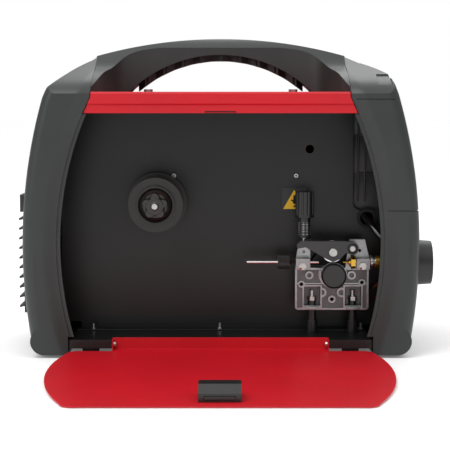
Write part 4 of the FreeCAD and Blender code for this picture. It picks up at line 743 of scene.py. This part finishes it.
class WELDER_OT_stage(WelderOperator, bpy.types.Operator):
    """Pale floor, soft lights and the camera"""
    bl_idname = "welder.stage"
    bl_label = "Stage"

    def execute(self, context):
        stage = context.scene.welder_stage
        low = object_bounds()[0]
        bpy.ops.object.select_all(action="DESELECT")
        bpy.ops.mesh.primitive_plane_add(size=stage.floor_size, location=(0, 0, low.z - 0.0003))
        floor = settle()
        floor.name = "floor"
        material, tree, shader = start_material("matt white floor paper", linear("fafafa"), 0.8)
        tint(tree, shader, linear("f6f6f6"), noise(tree, 900, 1.0).outputs["Fac"], 0.01)
        shader.inputs["Emission Color"].default_value = (1, 1, 1, 1)
        shader.inputs["Emission Strength"].default_value = stage.floor_glow
        floor.data.materials.append(material)
        floor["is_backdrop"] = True

        context.scene.world = self.studio_sky(stage)
        for name, place, target, size, power in (
            ("key", (-0.9, -1.3, 2.4), (0, 0, 0.15), 1.2, stage.key_power),
            ("side", (-2.2, -1.6, 1.2), (0, 0, 0.2), 0.8, stage.key_power * 0.35),
            ("rim", (0.3, 1.8, 1.9), (0, 0, 0.25), 1.4, stage.key_power * 0.5),
        ):
            bpy.ops.object.light_add(type="AREA", location=place)
            light = context.object
            light.name = name
            light.data.size = size
            light.data.energy = power
            light.rotation_euler = (Vector(target) - Vector(place)).to_track_quat("-Z", "Y").to_euler()

        eye = (0.00506, -1.748, 0.2994)
        look_down = math.radians(5.17)
        bpy.ops.object.camera_add(location=eye, rotation=(math.pi / 2 - look_down, 0, 0))
        camera = context.object
        camera.data.lens = stage.lens
        camera.data.sensor_width = 36
        camera.data.clip_start, camera.data.clip_end = 0.05, 100
        context.scene.camera = camera
        context.scene.view_settings.view_transform = "Standard"
        return {"FINISHED"}

    def studio_sky(self, stage):
        """A sky that is bright overhead and dim at eye level, in front of a plain white background."""
        world = bpy.data.worlds.new("studio")
        world.use_nodes = True
        tree = world.node_tree
        white = tree.nodes["Background"]
        white.inputs["Color"].default_value = (1, 1, 1, 1)
        place = add(tree, "ShaderNodeTexCoord")
        split = add(tree, "ShaderNodeSeparateXYZ", links={"Vector": place.outputs["Generated"]})
        fade = {"From Min": 0.1, "From Max": 0.9, "To Min": stage.horizon, "To Max": stage.zenith}
        level = add(tree, "ShaderNodeMapRange", fade, {"Value": split.outputs["Z"]},
                    interpolation_type="SMOOTHSTEP")
        dome = add(tree, "ShaderNodeBackground", {"Color": (1, 1, 1, 1)},
                   {"Strength": level.outputs["Result"]})
        seen = add(tree, "ShaderNodeLightPath")
        mix = {0: seen.outputs["Is Camera Ray"], 1: dome.outputs[0], 2: white.outputs[0]}
        both = add(tree, "ShaderNodeMixShader", links=mix)
        tree.links.new(both.outputs[0], tree.nodes["World Output"].inputs["Surface"])
        return world


STEPS = (
    WELDER_OT_finishes, WELDER_OT_rebate_ribs, WELDER_OT_hazard_plate, WELDER_OT_tension_scale,
    WELDER_OT_drive_fittings, WELDER_OT_inner_wall, WELDER_OT_control_panel, WELDER_OT_stage,
)


class WELDER_PT_panel(bpy.types.Panel):
    """Steps in the order they run"""
    bl_label = "Welding machine"
    bl_idname = "WELDER_PT_panel"
    bl_space_type = "VIEW_3D"
    bl_region_type = "UI"
    bl_category = "Welder"

    def draw(self, context):
        for group in ("welder_finish", "welder_detail", "welder_stage"):
            settings = getattr(context.scene, group)
            box = self.layout.box()
            for name in settings.__annotations__:
                box.prop(settings, name)
        for step in STEPS:
            self.layout.operator(step.bl_idname)


GROUPS = {"welder_finish": WelderFinish, "welder_detail": WelderDetail, "welder_stage": WelderStage}


def register():
    for group in GROUPS.values():
        bpy.utils.register_class(group)
    for name, group in GROUPS.items():
        setattr(bpy.types.Scene, name, bpy.props.PointerProperty(type=group))
    for step in STEPS + (WELDER_PT_panel,):
        bpy.utils.register_class(step)


def unregister():
    for step in (WELDER_PT_panel,) + STEPS[::-1]:
        bpy.utils.unregister_class(step)
    for name, group in GROUPS.items():
        delattr(bpy.types.Scene, name)
        bpy.utils.unregister_class(group)


def main():
    register()
    for step in STEPS:
        family, name = step.bl_idname.split(".")
        getattr(getattr(bpy.ops, family), name)()


if __name__ == "__main__":
    main()
